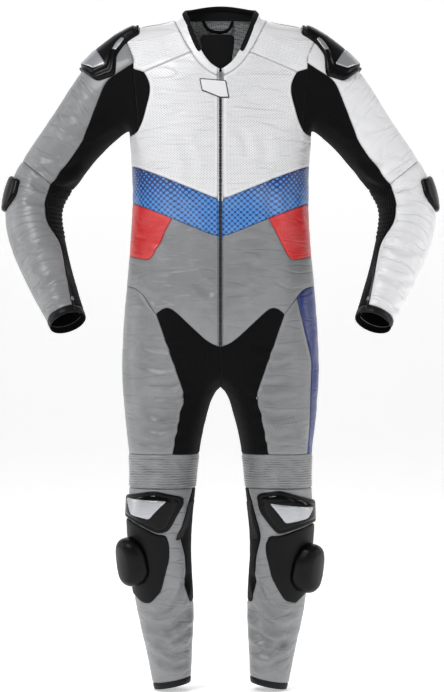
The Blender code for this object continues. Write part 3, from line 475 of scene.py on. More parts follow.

# %% [markdown]
# ## Folds
# Leather on a filled suit folds where the body bends: across the waist, inside the elbows, round
# the knees and down the shins. Each fold is a soft trough with a swell on both sides, deepest in
# its middle and gone at its ends. They are listed, no two alike, as rows in two tables, for
# the front and for the back: its depth and width, and the few places that it passes, all in
# millimetres across the suit and up from the ankle hem.

# %% The folds' tables
FRONT_FOLDS = [
    # depth, width, places (across, up)
    (2.6, 9, ((-70, 756), (-112, 742), (-168, 748))),
    (2.2, 8, ((-78, 712), (-124, 698), (-176, 706))),
    (3.2, 9, ((-66, 680), (-108, 660), (-150, 664))),
    (2.4, 7, ((-60, 648), (-98, 634), (-146, 642), (-182, 636))),
    (3.0, 9, ((-72, 612), (-116, 596), (-160, 604))),
    (2.0, 7, ((-84, 582), (-120, 570), (-158, 574))),
    (2.6, 8, ((-76, 556), (-128, 540), (-180, 548))),
    (2.8, 9, ((64, 752), (110, 734), (160, 742))),
    (2.2, 8, ((76, 716), (122, 706), (150, 716))),
    (3.0, 9, ((62, 676), (104, 664), (146, 672))),
    (2.0, 7, ((60, 640), (112, 630), (158, 640))),
    (3.2, 8, ((72, 606), (118, 594), (166, 604))),
    (2.4, 8, ((80, 566), (128, 556), (172, 566))),
    (2.0, 7, ((78, 540), (112, 532), (150, 538))),
    (3.0, 9, ((-74, 236), (-88, 204), (-110, 178), (-138, 170), (-164, 182))),
    (4.4, 11, ((-64, 186), (-84, 156), (-108, 134), (-134, 136), (-162, 156))),
    (3.8, 10, ((-64, 144), (-86, 118), (-112, 104), (-142, 118))),
    (3.4, 9, ((-152, 128), (-128, 96), (-100, 84), (-72, 96))),
    (2.6, 8, ((-144, 84), (-118, 60), (-92, 56), (-72, 66))),
    (2.4, 8, ((-66, 262), (-76, 238), (-82, 214))),
    (3.2, 9, ((76, 232), (90, 200), (112, 176), (140, 166), (166, 178))),
    (4.2, 11, ((66, 190), (86, 158), (112, 134), (138, 134), (164, 150))),
    (3.6, 10, ((66, 138), (90, 112), (116, 102), (146, 112))),
    (3.6, 9, ((154, 124), (128, 94), (102, 80), (70, 90))),
    (2.4, 8, ((140, 80), (114, 58), (90, 54), (70, 62))),
    (2.2, 8, ((66, 258), (78, 234), (84, 212))),
    (2.6, 12, ((-180, 862), (-140, 846), (-96, 852))),
    (2.0, 10, ((-188, 920), (-150, 904), (-104, 910))),
    (2.8, 12, ((-60, 878), (-24, 866), (-8, 872))),
    (2.4, 10, ((10, 850), (44, 858), (78, 874))),
    (2.0, 10, ((16, 914), (58, 922), (104, 916))),
    (2.2, 11, ((-186, 980), (-140, 970), (-92, 982))),
    (1.8, 10, ((14, 966), (56, 976), (92, 968))),
    (2.2, 13, ((-110, 1100), (-80, 1044), (-60, 1000))),
    (2.4, 13, ((116, 1120), (104, 1060), (120, 1004))),
    (2.0, 12, ((86, 1210), (96, 1160), (84, 1104))),
    (1.8, 12, ((-84, 1190), (-60, 1140), (-66, 1100))),
    (1.8, 10, ((30, 1216), (56, 1184), (60, 1150))),
    (2.6, 9, ((-300, 1146), (-336, 1124), (-392, 1128))),
    (3.2, 9, ((-296, 1104), (-340, 1086), (-406, 1096))),
    (2.6, 8, ((-310, 1062), (-356, 1052), (-420, 1064))),
    (2.4, 9, ((-352, 976), (-390, 950), (-440, 962))),
    (2.2, 9, ((-328, 900), (-364, 880), (-414, 888))),
    (2.0, 8, ((-312, 846), (-346, 830), (-392, 838))),
    (2.4, 10, ((-240, 1240), (-286, 1208), (-330, 1204))),
    (2.8, 9, ((300, 1150), (338, 1130), (392, 1136))),
    (3.2, 9, ((300, 1108), (346, 1088), (404, 1096))),
    (2.4, 8, ((316, 1068), (360, 1056), (424, 1066))),
    (2.6, 9, ((350, 972), (392, 948), (438, 958))),
    (2.2, 8, ((332, 904), (370, 884), (416, 890))),
    (2.0, 8, ((314, 842), (352, 828), (394, 832))),
    (2.6, 10, ((236, 1246), (282, 1214), (330, 1210))),
]
BACK_FOLDS = [
    (4.0, 13, ((-170, 1004), (-90, 984), (0, 992), (96, 978), (172, 996))),
    (3.4, 12, ((-150, 962), (-60, 946), (40, 954), (120, 940))),
    (3.0, 12, ((-110, 1046), (-20, 1034), (60, 1044), (150, 1034))),
    (2.6, 12, ((-60, 1280), (-66, 1220), (-44, 1160))),
    (2.4, 12, ((70, 1290), (78, 1226), (54, 1160))),
    (2.4, 12, ((-136, 1240), (-120, 1180), (-130, 1120))),
    (2.2, 12, ((140, 1236), (128, 1176), (134, 1116))),
    (3.4, 11, ((-30, 752), (-86, 722), (-160, 730))),
    (3.0, 10, ((-40, 706), (-100, 684), (-170, 694))),
    (3.4, 11, ((32, 748), (92, 724), (164, 734))),
    (2.8, 10, ((42, 700), (104, 682), (172, 690))),
    (2.4, 10, ((-56, 640), (-110, 622), (-170, 632))),
    (2.4, 10, ((56, 634), (112, 620), (172, 628))),
    (4.2, 10, ((-50, 520), (-112, 506), (-180, 516))),
    (4.6, 10, ((-48, 484), (-110, 474), (-184, 486))),
    (4.0, 9, ((-54, 448), (-116, 440), (-186, 454))),
    (4.4, 10, ((50, 516), (116, 504), (182, 512))),
    (4.4, 10, ((48, 478), (112, 472), (186, 482))),
    (3.8, 9, ((54, 444), (118, 436), (184, 448))),
    (3.0, 10, ((-64, 330), (-120, 312), (-182, 322))),
    (3.0, 10, ((-66, 240), (-112, 224), (-168, 234))),
    (3.4, 10, ((-66, 130), (-108, 112), (-156, 124))),
    (2.8, 9, ((-70, 78), (-108, 62), (-146, 74))),
    (3.0, 10, ((64, 334), (120, 318), (182, 326))),
    (3.0, 10, ((66, 244), (114, 226), (168, 232))),
    (3.2, 10, ((66, 134), (108, 118), (156, 122))),
    (2.8, 9, ((70, 82), (106, 68), (146, 70))),
    (3.2, 10, ((-232, 1226), (-280, 1196), (-336, 1206))),
    (2.8, 9, ((-292, 1134), (-336, 1112), (-392, 1122))),
    (2.6, 9, ((-330, 908), (-368, 886), (-414, 898))),
    (3.2, 10, ((234, 1230), (282, 1200), (336, 1208))),
    (2.8, 9, ((292, 1138), (338, 1116), (392, 1124))),
    (2.6, 9, ((330, 904), (370, 884), (414, 892))),
]
print("folds", len(FRONT_FOLDS) + len(BACK_FOLDS))

# %% [markdown]
# ## Relief
# Every point of the suit gets one number, its relief: how far it moves in or out. Numpy works it out
# for all points at once from the folds, the seams, the ribs and a little noise. The noise that bends
# the folds is given a seed, because it would start from the clock and differ at each run.

# %% The surface as number arrays
whole.verts.ensure_lookup_table()
whole.verts.index_update()
places = np.array([vert.co for vert in whole.verts])
normals = np.array([vert.normal for vert in whole.verts])
across = places[:, 0] / MM
up = places[:, 2] / MM + SHOULDER
WANDER, WANDER_SIZE, WANDER_SEED = 5.0, 0.055, 1795534701
noise.seed_set(WANDER_SEED)
wander = np.array([noise.noise_vector(vert.co / WANDER_SIZE) for vert in whole.verts])
GUARD_KINDS = ("shoulder_", "elbow_slider", "knee_frame", "knee_base", "neck_tab")
guards = [frame["nodes"][name].data for name in sorted(frame["nodes"]) if name.startswith(GUARD_KINDS)]


def gaps_to(tree):
    """The distance in millimetres from each point of the suit to the nearest point in a tree."""
    return np.array([tree.find(vert.co)[2] for vert in whole.verts]) / MM


seam_gap = gaps_to(seam_tree)
rim_gap = gaps_to(point_tree([vert.co.copy() for vert in whole.verts if vert.is_boundary]))
guard_gap = gaps_to(point_tree([vert.co for mesh in guards for vert in mesh.vertices]))
print("points", len(places), "nearest seam up to", round(float(seam_gap.max())), "mm away")


# %% Seams, folds, ribs and a gentle unevenness
def fade(value, start, end):
    """0 before the start, 1 past the end, and a smooth rise between them."""
    part = np.clip((value - start) / (end - start), 0, 1)
    return part * part * (3 - 2 * part)


def fold_relief(facing, depth, width, route):
    """How far one fold moves each point; facing is 1 where the skin looks straight at its side."""
    spot = np.stack([across + wander[:, 0] * WANDER, up + wander[:, 2] * WANDER], axis=1)
    route = np.array(route, dtype=float)
    lengths = np.linalg.norm(np.diff(route, axis=0), axis=1)
    total, passed = lengths.sum(), 0.0
    nearest = np.full(len(spot), 1e9)
    along = np.zeros(len(spot))
    for a, b, length in zip(route, route[1:], lengths):
        part = np.clip(((spot - a) @ (b - a)) / length ** 2, 0, 1)
        gap = np.linalg.norm(spot - (a + part[:, None] * (b - a)), axis=1)
        closer = gap < nearest
        nearest = np.where(closer, gap, nearest)
        along = np.where(closer, (passed + part * length) / total, along)
        passed += length
    strength = fade(facing, -0.05, 0.4) * np.sin(np.pi * np.clip(along, 0, 1)) ** 0.45
    ratio = nearest / (width * 0.85)
    profile = -np.exp(-ratio ** 1.5) + 0.6 * np.exp(-((ratio - 1.9) / 0.85) ** 2)
    return strength * depth * profile


FOLD_STRENGTH = 1.8
UNEVEN = 1.3
relief = np.zeros(len(places))
for folds, facing in ((FRONT_FOLDS, -normals[:, 1]), (BACK_FOLDS, normals[:, 1])):
    for depth, width, route in folds:
        relief += fold_relief(facing, depth * FOLD_STRENGTH, width, route)

for i, vert in enumerate(whole.verts):
    spot = vert.co
    wide = noise.noise(spot / 0.07)
    across_limb = noise.noise(Vector((spot.x / 0.06, spot.y / 0.06, spot.z / 0.019)))
    relief[i] += UNEVEN * (0.7 * wide + 0.45 * across_limb)

panels_of = [{face[panel_of] for face in vert.link_faces} for vert in whole.verts]


def touching(*words):
    """1 for each point on a panel of these kinds, or on its border, and 0 for the others."""
    wanted = {i for i, name in enumerate(CLOTH) if short_name(name) in words}
    return np.array([1.0 if found & wanted else 0.0 for found in panels_of])


calm = np.maximum.reduce([touching("yoke", "collar", "zip_tape", "cuff", "ankle_band"),
                          0.8 * touching("knee_pleats", "elbow_stretch")])
relief *= 1 - 0.8 * calm
SEAM_DEPTH, SEAM_SWELL, ZIP_DEPTH, RIB_WANDER = 1.0, 0.45, 1.5, 2.6
seam_valley = (SEAM_SWELL * np.exp(-((seam_gap - 4.2) / 2.2) ** 2)
               - SEAM_DEPTH * np.exp(-(seam_gap / 1.7) ** 2))
relief = relief * fade(rim_gap, 0, 14) * fade(guard_gap, 2, 14) + seam_valley * fade(rim_gap, 0, 3)

# crease_gap is the distance in millimetres to the nearest seam or rib valley; the shaders paint shade where
# it is small.
crease_gap = seam_gap.copy()
zip_bed = touching("zip_tape") * (1 - fade(np.abs(across), LIP_START, LIP_END))
relief -= ZIP_DEPTH * zip_bed * fade(rim_gap, 0, 6)
for panel, (first, last, count, height) in RIBS.items():
    for letter, sign in SIDES:
        inside = touching(panel) * (np.sign(across) == sign)
        (x0, z0), (x1, z1) = first
        (x2, z2), (x3, z3) = last
        part_across = np.clip((np.abs(across) - x0) / (x1 - x0), 0, 1)
        low = z0 + (z1 - z0) * part_across
        part_across = np.clip((np.abs(across) - x2) / (x3 - x2), 0, 1)
        high = z2 + (z3 - z2) * part_across
        level = (up + wander[:, 1] * RIB_WANDER * (panel == "knee_pleats") - low) / (high - low)
        wave = np.sqrt(np.abs(np.sin(np.pi * count * level)))
        edge = fade(seam_gap, 0.5, 5.0) * (level > 0) * (level < 1)
        relief += inside * edge * height * (wave - 0.55)
        ribbed = inside * edge > 0.5
        # Rib valleys count as creases here, so the shaders paint shade in them too.
        crease_gap = np.where(ribbed, np.minimum(crease_gap, 0.5 + 4.0 * wave), crease_gap)

for vert, place in zip(whole.verts, places + normals * (relief * MM)[:, None]):
    vert.co = place
whole.normal_update()
print("relief from", round(float(relief.min()), 1), "to", round(float(relief.max()), 1), "mm")

# %% [markdown]
# ## Shader tools
# The finishes share a few effects: the pebbled grain of leather, rows of punched holes, the ribs of
# stretch cloth, soft creases and a net. Each is a node group with named inputs, so a finish can use
# the same grain at its own size. A few short helpers keep the node code readable.

# %% Helpers for node trees
def plug(tree, target, value):
    """Links an input to another node's output, or gives it a plain value."""
    if isinstance(value, bpy.types.NodeSocket):
        tree.links.new(value, target)
    else:
        target.default_value = value


def node(tree, kind, inputs=None, **settings):
    """Adds a shader node with its settings and its inputs."""
    made = tree.nodes.new("ShaderNode" + kind)
    for key, value in settings.items():
        setattr(made, key, value)
    for key, value in (inputs or {}).items():
        plug(tree, made.inputs[key], value)
    return made


def maths(tree, operation, *values, clamp=False):
    return node(tree, "Math", dict(enumerate(values)), operation=operation, use_clamp=clamp).outputs[0]


def smooth_step(tree, value, low, high, to_low=0.0, to_high=1.0):
    """Turns low to high into to_low to to_high, with a soft start and end."""
    sockets = {"Value": value, "From Min": low, "From Max": high, "To Min": to_low, "To Max": to_high}
    return node(tree, "MapRange", sockets, interpolation_type="SMOOTHSTEP").outputs["Result"]


def new_group(name, inputs, outputs):
    """An empty node group with named inputs and outputs."""
    group = bpy.data.node_groups.new(name, "ShaderNodeTree")
    for label, kind, value in inputs:
        socket = group.interface.new_socket(name=label, in_out="INPUT", socket_type="NodeSocket" + kind)
        if value is not None:
            socket.default_value = value
    for label, kind in outputs:
        group.interface.new_socket(name=label, in_out="OUTPUT", socket_type="NodeSocket" + kind)
    start = group.nodes.new("NodeGroupInput")
    end = group.nodes.new("NodeGroupOutput")
    return group, start.outputs, end.inputs


def use_group(tree, group, inputs):
    return node(tree, "Group", inputs, node_tree=group).outputs


def in_cells(tree, vector, size):
    """A place measured in cells of this size."""
    sockets = {0: vector, "Scale": maths(tree, "DIVIDE", 1.0, size)}
    return node(tree, "VectorMath", sockets, operation="SCALE").outputs[0]


# %% Leather grain
GRAIN, start, end = new_group("leather grain", [("Vector", "Vector", None), ("Pebble", "Float", 0.0016)],
                              [("Height", "Float"), ("Tone", "Float")])
tree = GRAIN
pebbles = node(tree, "TexVoronoi", {"Vector": in_cells(tree, start["Vector"], start["Pebble"]),
                                    "Scale": 1.0, "Randomness": 1.0}, feature="SMOOTH_F1")
wrinkles = node(tree, "TexNoise", {"Vector": start["Vector"], "Scale": 260.0, "Detail": 3.0})
blotches = node(tree, "TexNoise", {"Vector": start["Vector"], "Scale": 14.0, "Detail": 4.0})
tree.links.new(maths(tree, "ADD", maths(tree, "MULTIPLY", pebbles.outputs["Distance"], -1.0),
                     wrinkles.outputs["Fac"]), end["Height"])
tree.links.new(blotches.outputs["Fac"], end["Tone"])

# %% Punched holes
HOLES, start, end = new_group("punched holes", [("Vector", "Vector", None), ("Pitch", "Float", 0.0045),
                                                ("Hole", "Float", 0.0007)], [("Mask", "Float")])
tree = HOLES
turned = node(tree, "VectorRotate", {"Vector": start["Vector"], "Angle": math.radians(45)},
              rotation_type="Z_AXIS")
cells = in_cells(tree, turned.outputs[0], start["Pitch"])
inside = node(tree, "VectorMath", {0: cells}, operation="FRACTION")
centred = node(tree, "VectorMath", {0: inside.outputs[0], 1: (0.5, 0.5, 0.0)}, operation="SUBTRACT")
flat = node(tree, "VectorMath", {0: centred.outputs[0], 1: (1.0, 1.0, 0.0)}, operation="MULTIPLY")
length = node(tree, "VectorMath", {0: flat.outputs[0]}, operation="LENGTH")
gap = maths(tree, "MULTIPLY", length.outputs["Value"], start["Pitch"])
tree.links.new(smooth_step(tree, gap, start["Hole"], maths(tree, "MULTIPLY", start["Hole"], 1.5), 1.0, 0.0),
               end["Mask"])

# %% Soft creases
CREASES, start, end = new_group("soft creases", [("Vector", "Vector", None), ("Length", "Float", 0.09),
                                                 ("Width", "Float", 0.022)], [("Height", "Float")])
tree = CREASES
parts = node(tree, "SeparateXYZ", {0: start["Vector"]})
long_way = maths(tree, "DIVIDE", parts.outputs["X"], start["Length"])
short_way = maths(tree, "DIVIDE", parts.outputs["Y"], start["Width"])
stretched = node(tree, "CombineXYZ", {"X": long_way, "Y": short_way})
waves = node(tree, "TexNoise", {"Vector": stretched.outputs[0], "Scale": 1.0, "Detail": 1.5,
                                "Distortion": 0.6})
ridge = maths(tree, "ABSOLUTE", maths(tree, "SUBTRACT", waves.outputs["Fac"], 0.5))
tree.links.new(smooth_step(tree, ridge, 0.0, 0.11), end["Height"])

# %% Ribbed stretch cloth
RIBBED, start, end = new_group("stretch ribs", [("Vector", "Vector", None), ("Rib", "Float", 0.003)],
                               [("Height", "Float"), ("Fibre", "Float")])
tree = RIBBED
parts = node(tree, "SeparateXYZ", {0: start["Vector"]})
turns = maths(tree, "DIVIDE", maths(tree, "MULTIPLY", parts.outputs["X"], math.pi), start["Rib"])
tree.links.new(maths(tree, "ABSOLUTE", maths(tree, "SINE", turns)), end["Height"])
stretch = node(tree, "VectorMath", {0: start["Vector"], 1: (2600.0, 700.0, 1.0)}, operation="MULTIPLY")
fibre = node(tree, "TexNoise", {"Vector": stretch.outputs[0], "Scale": 1.0, "Detail": 2.0})
tree.links.new(fibre.outputs["Fac"], end["Fibre"])

# %% Net lining
NET, start, end = new_group("net lining", [("Vector", "Vector", None), ("Cell", "Float", 0.004)],
                            [("Mask", "Float")])
tree = NET
cells = in_cells(tree, start["Vector"], start["Cell"])
spots = node(tree, "TexVoronoi", {"Vector": cells, "Scale": 1.0, "Randomness": 0.25})
tree.links.new(smooth_step(tree, spots.outputs["Distance"], 0.28, 0.42, 1.0, 0.0), end["Mask"])
print("node groups", [group.name for group in bpy.data.node_groups])

# %% [markdown]
# ## Leathers and cloths
# Race leather is smooth cowhide with a clear top coat, so it has a soft broad sheen and fine pebbles.
# The chest, the sleeves and the thighs are punched with rows of small holes for air. The stretch
# panels are dull knitted cloth, with ribs where they must give most.

# %% Colours
def colour(red, green, blue):
    """A colour as a screen shows it, 0 to 255, turned into the linear light that shaders use."""
    return (*[(part / 255) ** 2.2 for part in (red, green, blue)], 1.0)


WHITE = colour(238, 238, 240)
GREY = colour(134, 135, 137)
NAVY = colour(38, 52, 112)
SKY = colour(78, 146, 222)
RED = colour(226, 44, 46)
BLACK = colour(14, 14, 15)
STRETCH_BLACK = colour(9, 9, 10)
# The second net colour is painted shade, for the holes of the net.
NET_THREAD, NET_HOLE_SHADE = colour(196, 198, 200), colour(84, 85, 87)


def times(tint, factor):
    """The same colour, lighter or darker."""
    return (*[min(1.0, factor * part) for part in tint[:3]], 1.0)


def start_material(name):
    """A new material with its node tree, its shader and its texture coordinates."""
    made = bpy.data.materials.new(name)
    made.use_nodes = True
    tree = made.node_tree
    shader = tree.nodes["Principled BSDF"]
    spot = tree.nodes.new("ShaderNodeTexCoord").outputs
    return made, tree, shader, spot


def mix_colour(tree, part, first, second, blend="MIX"):
    made = node(tree, "Mix", data_type="RGBA", blend_type=blend)
    sockets = {item.identifier: item for item in made.inputs}
    for key, value in (("Factor_Float", part), ("A_Color", first), ("B_Color", second)):
        plug(tree, sockets[key], value)
    return next(item for item in made.outputs if item.identifier == "Result_Color")


def link_bumps(tree, shader, heights):
    """Chains bump nodes, one for each height with its depth in metres."""
    normal = None
    for height, depth in heights:
        inputs = {"Height": height, "Distance": depth, "Strength": 1.0}
        if normal is not None:
            inputs["Normal"] = normal
        normal = node(tree, "Bump", inputs).outputs["Normal"]
    tree.links.new(normal, shader.inputs["Normal"])


def leather(name, tint, punched=False, gloss=0.42, crease=0.0014, coat=0.18):
    """Coated leather; its tint is a colour, or a function that makes a pattern."""
    made, tree, shader, spot = start_material(name)
    grain = use_group(tree, GRAIN, {"Vector": spot["Object"], "Pebble": 0.0017})
    seam = node(tree, "Attribute", attribute_name="seam").outputs["Fac"]
    # Painted shade: within about 2 mm of a seam or of a rib valley, the colour is mixed up to 55% towards
    # near black.
    painted_crease_shade = smooth_step(tree, seam, 0.2, 2.2, 0.55, 0.0)
    base = tint(tree, spot) if callable(tint) else tint
    lighter = mix_colour(tree, smooth_step(tree, grain["Tone"], 0.35, 0.7, 0.0, 0.35 * coat), base,
                         (1.0, 1.0, 1.0, 1.0), "SCREEN")
    shaded = mix_colour(tree, painted_crease_shade, lighter, (0.02, 0.02, 0.022, 1.0))
    creases = use_group(tree, CREASES, {"Vector": spot["UV"], "Length": 0.11, "Width": 0.026})
    calm = smooth_step(tree, seam, 1.0, 12.0)
    heights = [(maths(tree, "MULTIPLY", creases["Height"], calm), crease), (grain["Height"], 0.00012)]
    if punched:
        holes = use_group(tree, HOLES, {"Vector": spot["UV"], "Pitch": 0.0038, "Hole": 0.00052})
        clear = smooth_step(tree, seam, 6.0, 7.5)
        mask = maths(tree, "MULTIPLY", holes["Mask"], clear)
        # Painted shade: the punched holes are coloured near black, for the shade seen through them.
        shaded = mix_colour(tree, maths(tree, "MULTIPLY", mask, 0.7), shaded, (0.008, 0.008, 0.009, 1.0))
        heights.append((maths(tree, "MULTIPLY", mask, -1.0), 0.0004))
    tree.links.new(shaded, shader.inputs["Base Color"])
    tree.links.new(smooth_step(tree, grain["Tone"], 0.3, 0.75, gloss - 0.05, gloss + 0.09),
                   shader.inputs["Roughness"])
    shader.inputs["Coat Weight"].default_value = coat
    shader.inputs["Specular IOR Level"].default_value = 0.5 if coat > 0.1 else 0.2
    shader.inputs["Coat Roughness"].default_value = 0.28
    link_bumps(tree, shader, heights)
    return made


def stretch_cloth(name, tint, rib=0.0032, depth=0.0006):
    """Dull knitted cloth with ribs along the limb."""
    made, tree, shader, spot = start_material(name)
    ribs = use_group(tree, RIBBED, {"Vector": spot["UV"], "Rib": rib})
    seam = node(tree, "Attribute", attribute_name="seam").outputs["Fac"]
    # Painted shade: the colour is darker in the valleys between the ribs, down to 0.45 of the tint.
    shade = mix_colour(tree, ribs["Height"], times(tint, 0.45), tint)
    furry = mix_colour(tree, smooth_step(tree, ribs["Fibre"], 0.35, 0.7, 0.0, 0.5), shade,
                       times(tint, 2.2))
    # Painted shade: within about 2 mm of a seam or of a rib valley, the colour is mixed up to 60% towards
    # black.
    tree.links.new(mix_colour(tree, smooth_step(tree, seam, 0.2, 2.0, 0.6, 0.0), furry,
                              (0.003, 0.003, 0.003, 1.0)), shader.inputs["Base Color"])
    shader.inputs["Roughness"].default_value = 0.82
    shader.inputs["Specular IOR Level"].default_value = 0.15
    shader.inputs["Sheen Weight"].default_value = 0.04
    shader.inputs["Sheen Roughness"].default_value = 0.5
    link_bumps(tree, shader, [(ribs["Height"], depth), (ribs["Fibre"], 0.0001)])
    return made


def net_cloth(name, thread, hollow, black_above=None):
    """A net lining; above a height, in metres, it may turn into plain black knit."""
    made, tree, shader, spot = start_material(name)
    net = use_group(tree, NET, {"Vector": spot["Object"], "Cell": 0.0042})
    # Painted shade: the holes of the net get the darker hollow colour, which stands for the shade seen
    # through them.
    shade = mix_colour(tree, net["Mask"], thread, hollow)
    if black_above is not None:
        height = node(tree, "SeparateXYZ", {0: spot["Object"]}).outputs["Z"]
        knit = smooth_step(tree, height, black_above - 0.001, black_above + 0.001)
        shade = mix_colour(tree, knit, shade, colour(15, 15, 16))
    tree.links.new(shade, shader.inputs["Base Color"])
    shader.inputs["Roughness"].default_value = 0.85
    link_bumps(tree, shader, [(maths(tree, "MULTIPLY", net["Mask"], -1.0), 0.0006)])
    return made


def binding_cloth(name, tint):
    """A plain dull knit for bindings, flaps and the insides of the cuffs."""
    made, tree, shader, spot = start_material(name)
    knit = node(tree, "TexNoise", {"Vector": spot["Object"], "Scale": 850.0, "Detail": 2.0})
    tree.links.new(mix_colour(tree, smooth_step(tree, knit.outputs["Fac"], 0.35, 0.7, 0.0, 0.6), tint,
                              times(tint, 2.0)), shader.inputs["Base Color"])
    shader.inputs["Roughness"].default_value = 0.85
    shader.inputs["Specular IOR Level"].default_value = 0.2
    link_bumps(tree, shader, [(knit.outputs["Fac"], 0.0003)])
    return made


def halftone(tree, spot):
    """Sky blue dots on navy, large below and gone above, for a printed panel."""
    height = node(tree, "SeparateXYZ", {0: spot["Object"]}).outputs["Z"]
    size = smooth_step(tree, height, -0.36, -0.20, 0.0031, 0.0)
    dots = use_group(tree, HOLES, {"Vector": spot["UV"], "Pitch": 0.0085, "Hole": size})
    return mix_colour(tree, dots["Mask"], NAVY, SKY)


WHITE_LEATHER = leather("white leather", WHITE)
WHITE_PUNCHED = leather("white punched leather", WHITE, punched=True)
GREY_LEATHER = leather("grey leather", GREY)
GREY_PUNCHED = leather("grey punched leather", GREY, punched=True)
NAVY_LEATHER = leather("navy leather", NAVY)
DOTTED_LEATHER = leather("navy leather with sky blue dots", halftone)
RED_LEATHER = leather("red leather", RED, punched=True)
BLACK_LEATHER = leather("black leather", BLACK, gloss=0.46, coat=0.03)
STRETCH = stretch_cloth("black stretch cloth", STRETCH_BLACK)
RIB_STRETCH = stretch_cloth("black ribbed stretch cloth", STRETCH_BLACK, rib=0.0065, depth=0.0012)
LINING = net_cloth("grey net lining", NET_THREAD, NET_HOLE_SHADE)
BINDING = binding_cloth("black knit binding", colour(18, 18, 19))
BLACK_LINING = binding_cloth("black lining", colour(14, 14, 15))
COLLAR_LINING = net_cloth("collar lining", NET_THREAD, NET_HOLE_SHADE, black_above=0.064)
BLACK_INSIDE = ("sleeve", "forearm", "elbow", "cuff", "ankle", "armpit", "shin", "calf")

FINISH = {"yoke": WHITE_LEATHER, "collar": WHITE_LEATHER, "chest": WHITE_PUNCHED,
          "chevron": DOTTED_LEATHER, "flank": RED_LEATHER, "thigh_side": NAVY_LEATHER,
          "sleeve_L": WHITE_LEATHER, "forearm_L": WHITE_LEATHER, "thigh": GREY_PUNCHED,
          "armpit": STRETCH, "inner_sleeve": STRETCH, "elbow_stretch": RIB_STRETCH,
          "inner_leg": STRETCH, "calf_stretch": STRETCH, "ankle_band": BLACK_LEATHER,
          "cuff": BLACK_LEATHER, "zip_tape": STRETCH}


def finish_for(name):
    """The finish of a panel; the rest of the suit is grey leather."""
    return FINISH.get(name) or FINISH.get(short_name(name)) or GREY_LEATHER


def slot_for(material):
    """The record's slot that a finish belongs to, by its first words."""
    for word in ("white", "grey", "navy", "red"):
        if material.name.startswith(word):
            return word + "_leather"
    return "black_leather" if material is BLACK_LEATHER else "black_stretch"


print("finishes", len(bpy.data.materials))

# %% [markdown]
# ## Cut the surface into its panels
# The suit is parted along its seams again, so that each panel is its own piece of leather or cloth.
# A pattern has to follow the cloth, so each point gets a pair of lengths in metres: round the body or
# limb, and along it. Solidify then gives every panel its thickness, with the net lining inside.

# %% Round and along
ZONES = {
    # zone:  (words in the panel's name,                                    half width, half depth)
    "arm": (("sleeve", "forearm", "elbow", "cuff"), 0.062, 0.062),
    "leg": (("thigh", "leg", "knee", "shin", "calf", "ankle"), 0.082, 0.078),
    "torso": (("",), 0.168, 0.112),
}
TURN = np.linspace(-2 * math.pi, 2 * math.pi, 1441)


def arc_table(wide, deep):
    """Length round an ellipse from its front, for every angle in TURN."""
    middle = (TURN[1:] + TURN[:-1]) / 2
    step = np.hypot(wide * np.cos(middle), deep * np.sin(middle)) * np.diff(TURN)
    table = np.concatenate([[0.0], np.cumsum(step)])
    return table - np.interp(0.0, TURN, table)


def arm_place(spot):
    """Angle round the arm's middle line and length along it."""
    side = 1 if spot.x > 0 else -1
    spot = Vector((abs(spot.x), spot.y, spot.z))
    place, along, length = on_arm(spot)
    front = (Vector((0, -1, 0)) + along * along.y).normalized()
    out = along.cross(front)
    away = spot - place
    return math.atan2(away.dot(out), away.dot(front)) * side, length


def cloth_places(spots, zone, wide, deep):
    """The angle round its limb or the torso of each spot, and its length along it."""
    if zone == "arm":
        pairs = [arm_place(Vector(spot)) for spot in spots]
        return np.array([pair[0] for pair in pairs]), np.array([pair[1] for pair in pairs])
    middle = np.where(spots[:, 0] > 0, LEG_OUT, -LEG_OUT) if zone == "leg" else 0.0
    angle = np.arctan2((spots[:, 0] - middle) / wide, -(spots[:, 1] - 0.005) / deep)
    return angle, spots[:, 2]


def add_cloth_uv(mesh, name):
    """UV in metres: round the body or limb, and along it."""
    zone, (words, wide, deep) = next(item for item in ZONES.items()
                                     if any(word in name for word in item[1][0]))
    spots = np.empty(len(mesh.vertices) * 3)
    mesh.vertices.foreach_get("co", spots)
    angle, along = cloth_places(spots.reshape(-1, 3), zone, wide, deep)
    corner = np.empty(len(mesh.loops), dtype=int)
    mesh.loops.foreach_get("vertex_index", corner)
    turn = angle[corner].reshape(-1, 3)
    first = turn[:, :1]
    turn = first + (turn - first + math.pi) % (2 * math.pi) - math.pi
    around = np.interp(turn.ravel(), TURN, arc_table(wide, deep))
    layer = mesh.uv_layers.new(name="cloth")
    layer.data.foreach_set("uv", np.stack([around, along[corner]], axis=1).ravel())


# The seam attribute holds crease_gap, which the leather and stretch shaders use to paint shade along seams
# and in rib valleys.
seam_layer = whole.verts.layers.float.new("seam")
for vert, gap in zip(whole.verts, crease_gap):
    vert[seam_layer] = float(gap)
suit_mesh = bpy.data.meshes.new("suit surface")
whole.to_mesh(suit_mesh)
THICKNESS = 1.5 * MM


def add_piece(name, mesh, body="suit"):
    """An object with this mesh that rides on a body."""
    made = bpy.data.objects.new(name, mesh)
    bpy.context.scene.collection.objects.link(made)
    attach(made, body)
    return made


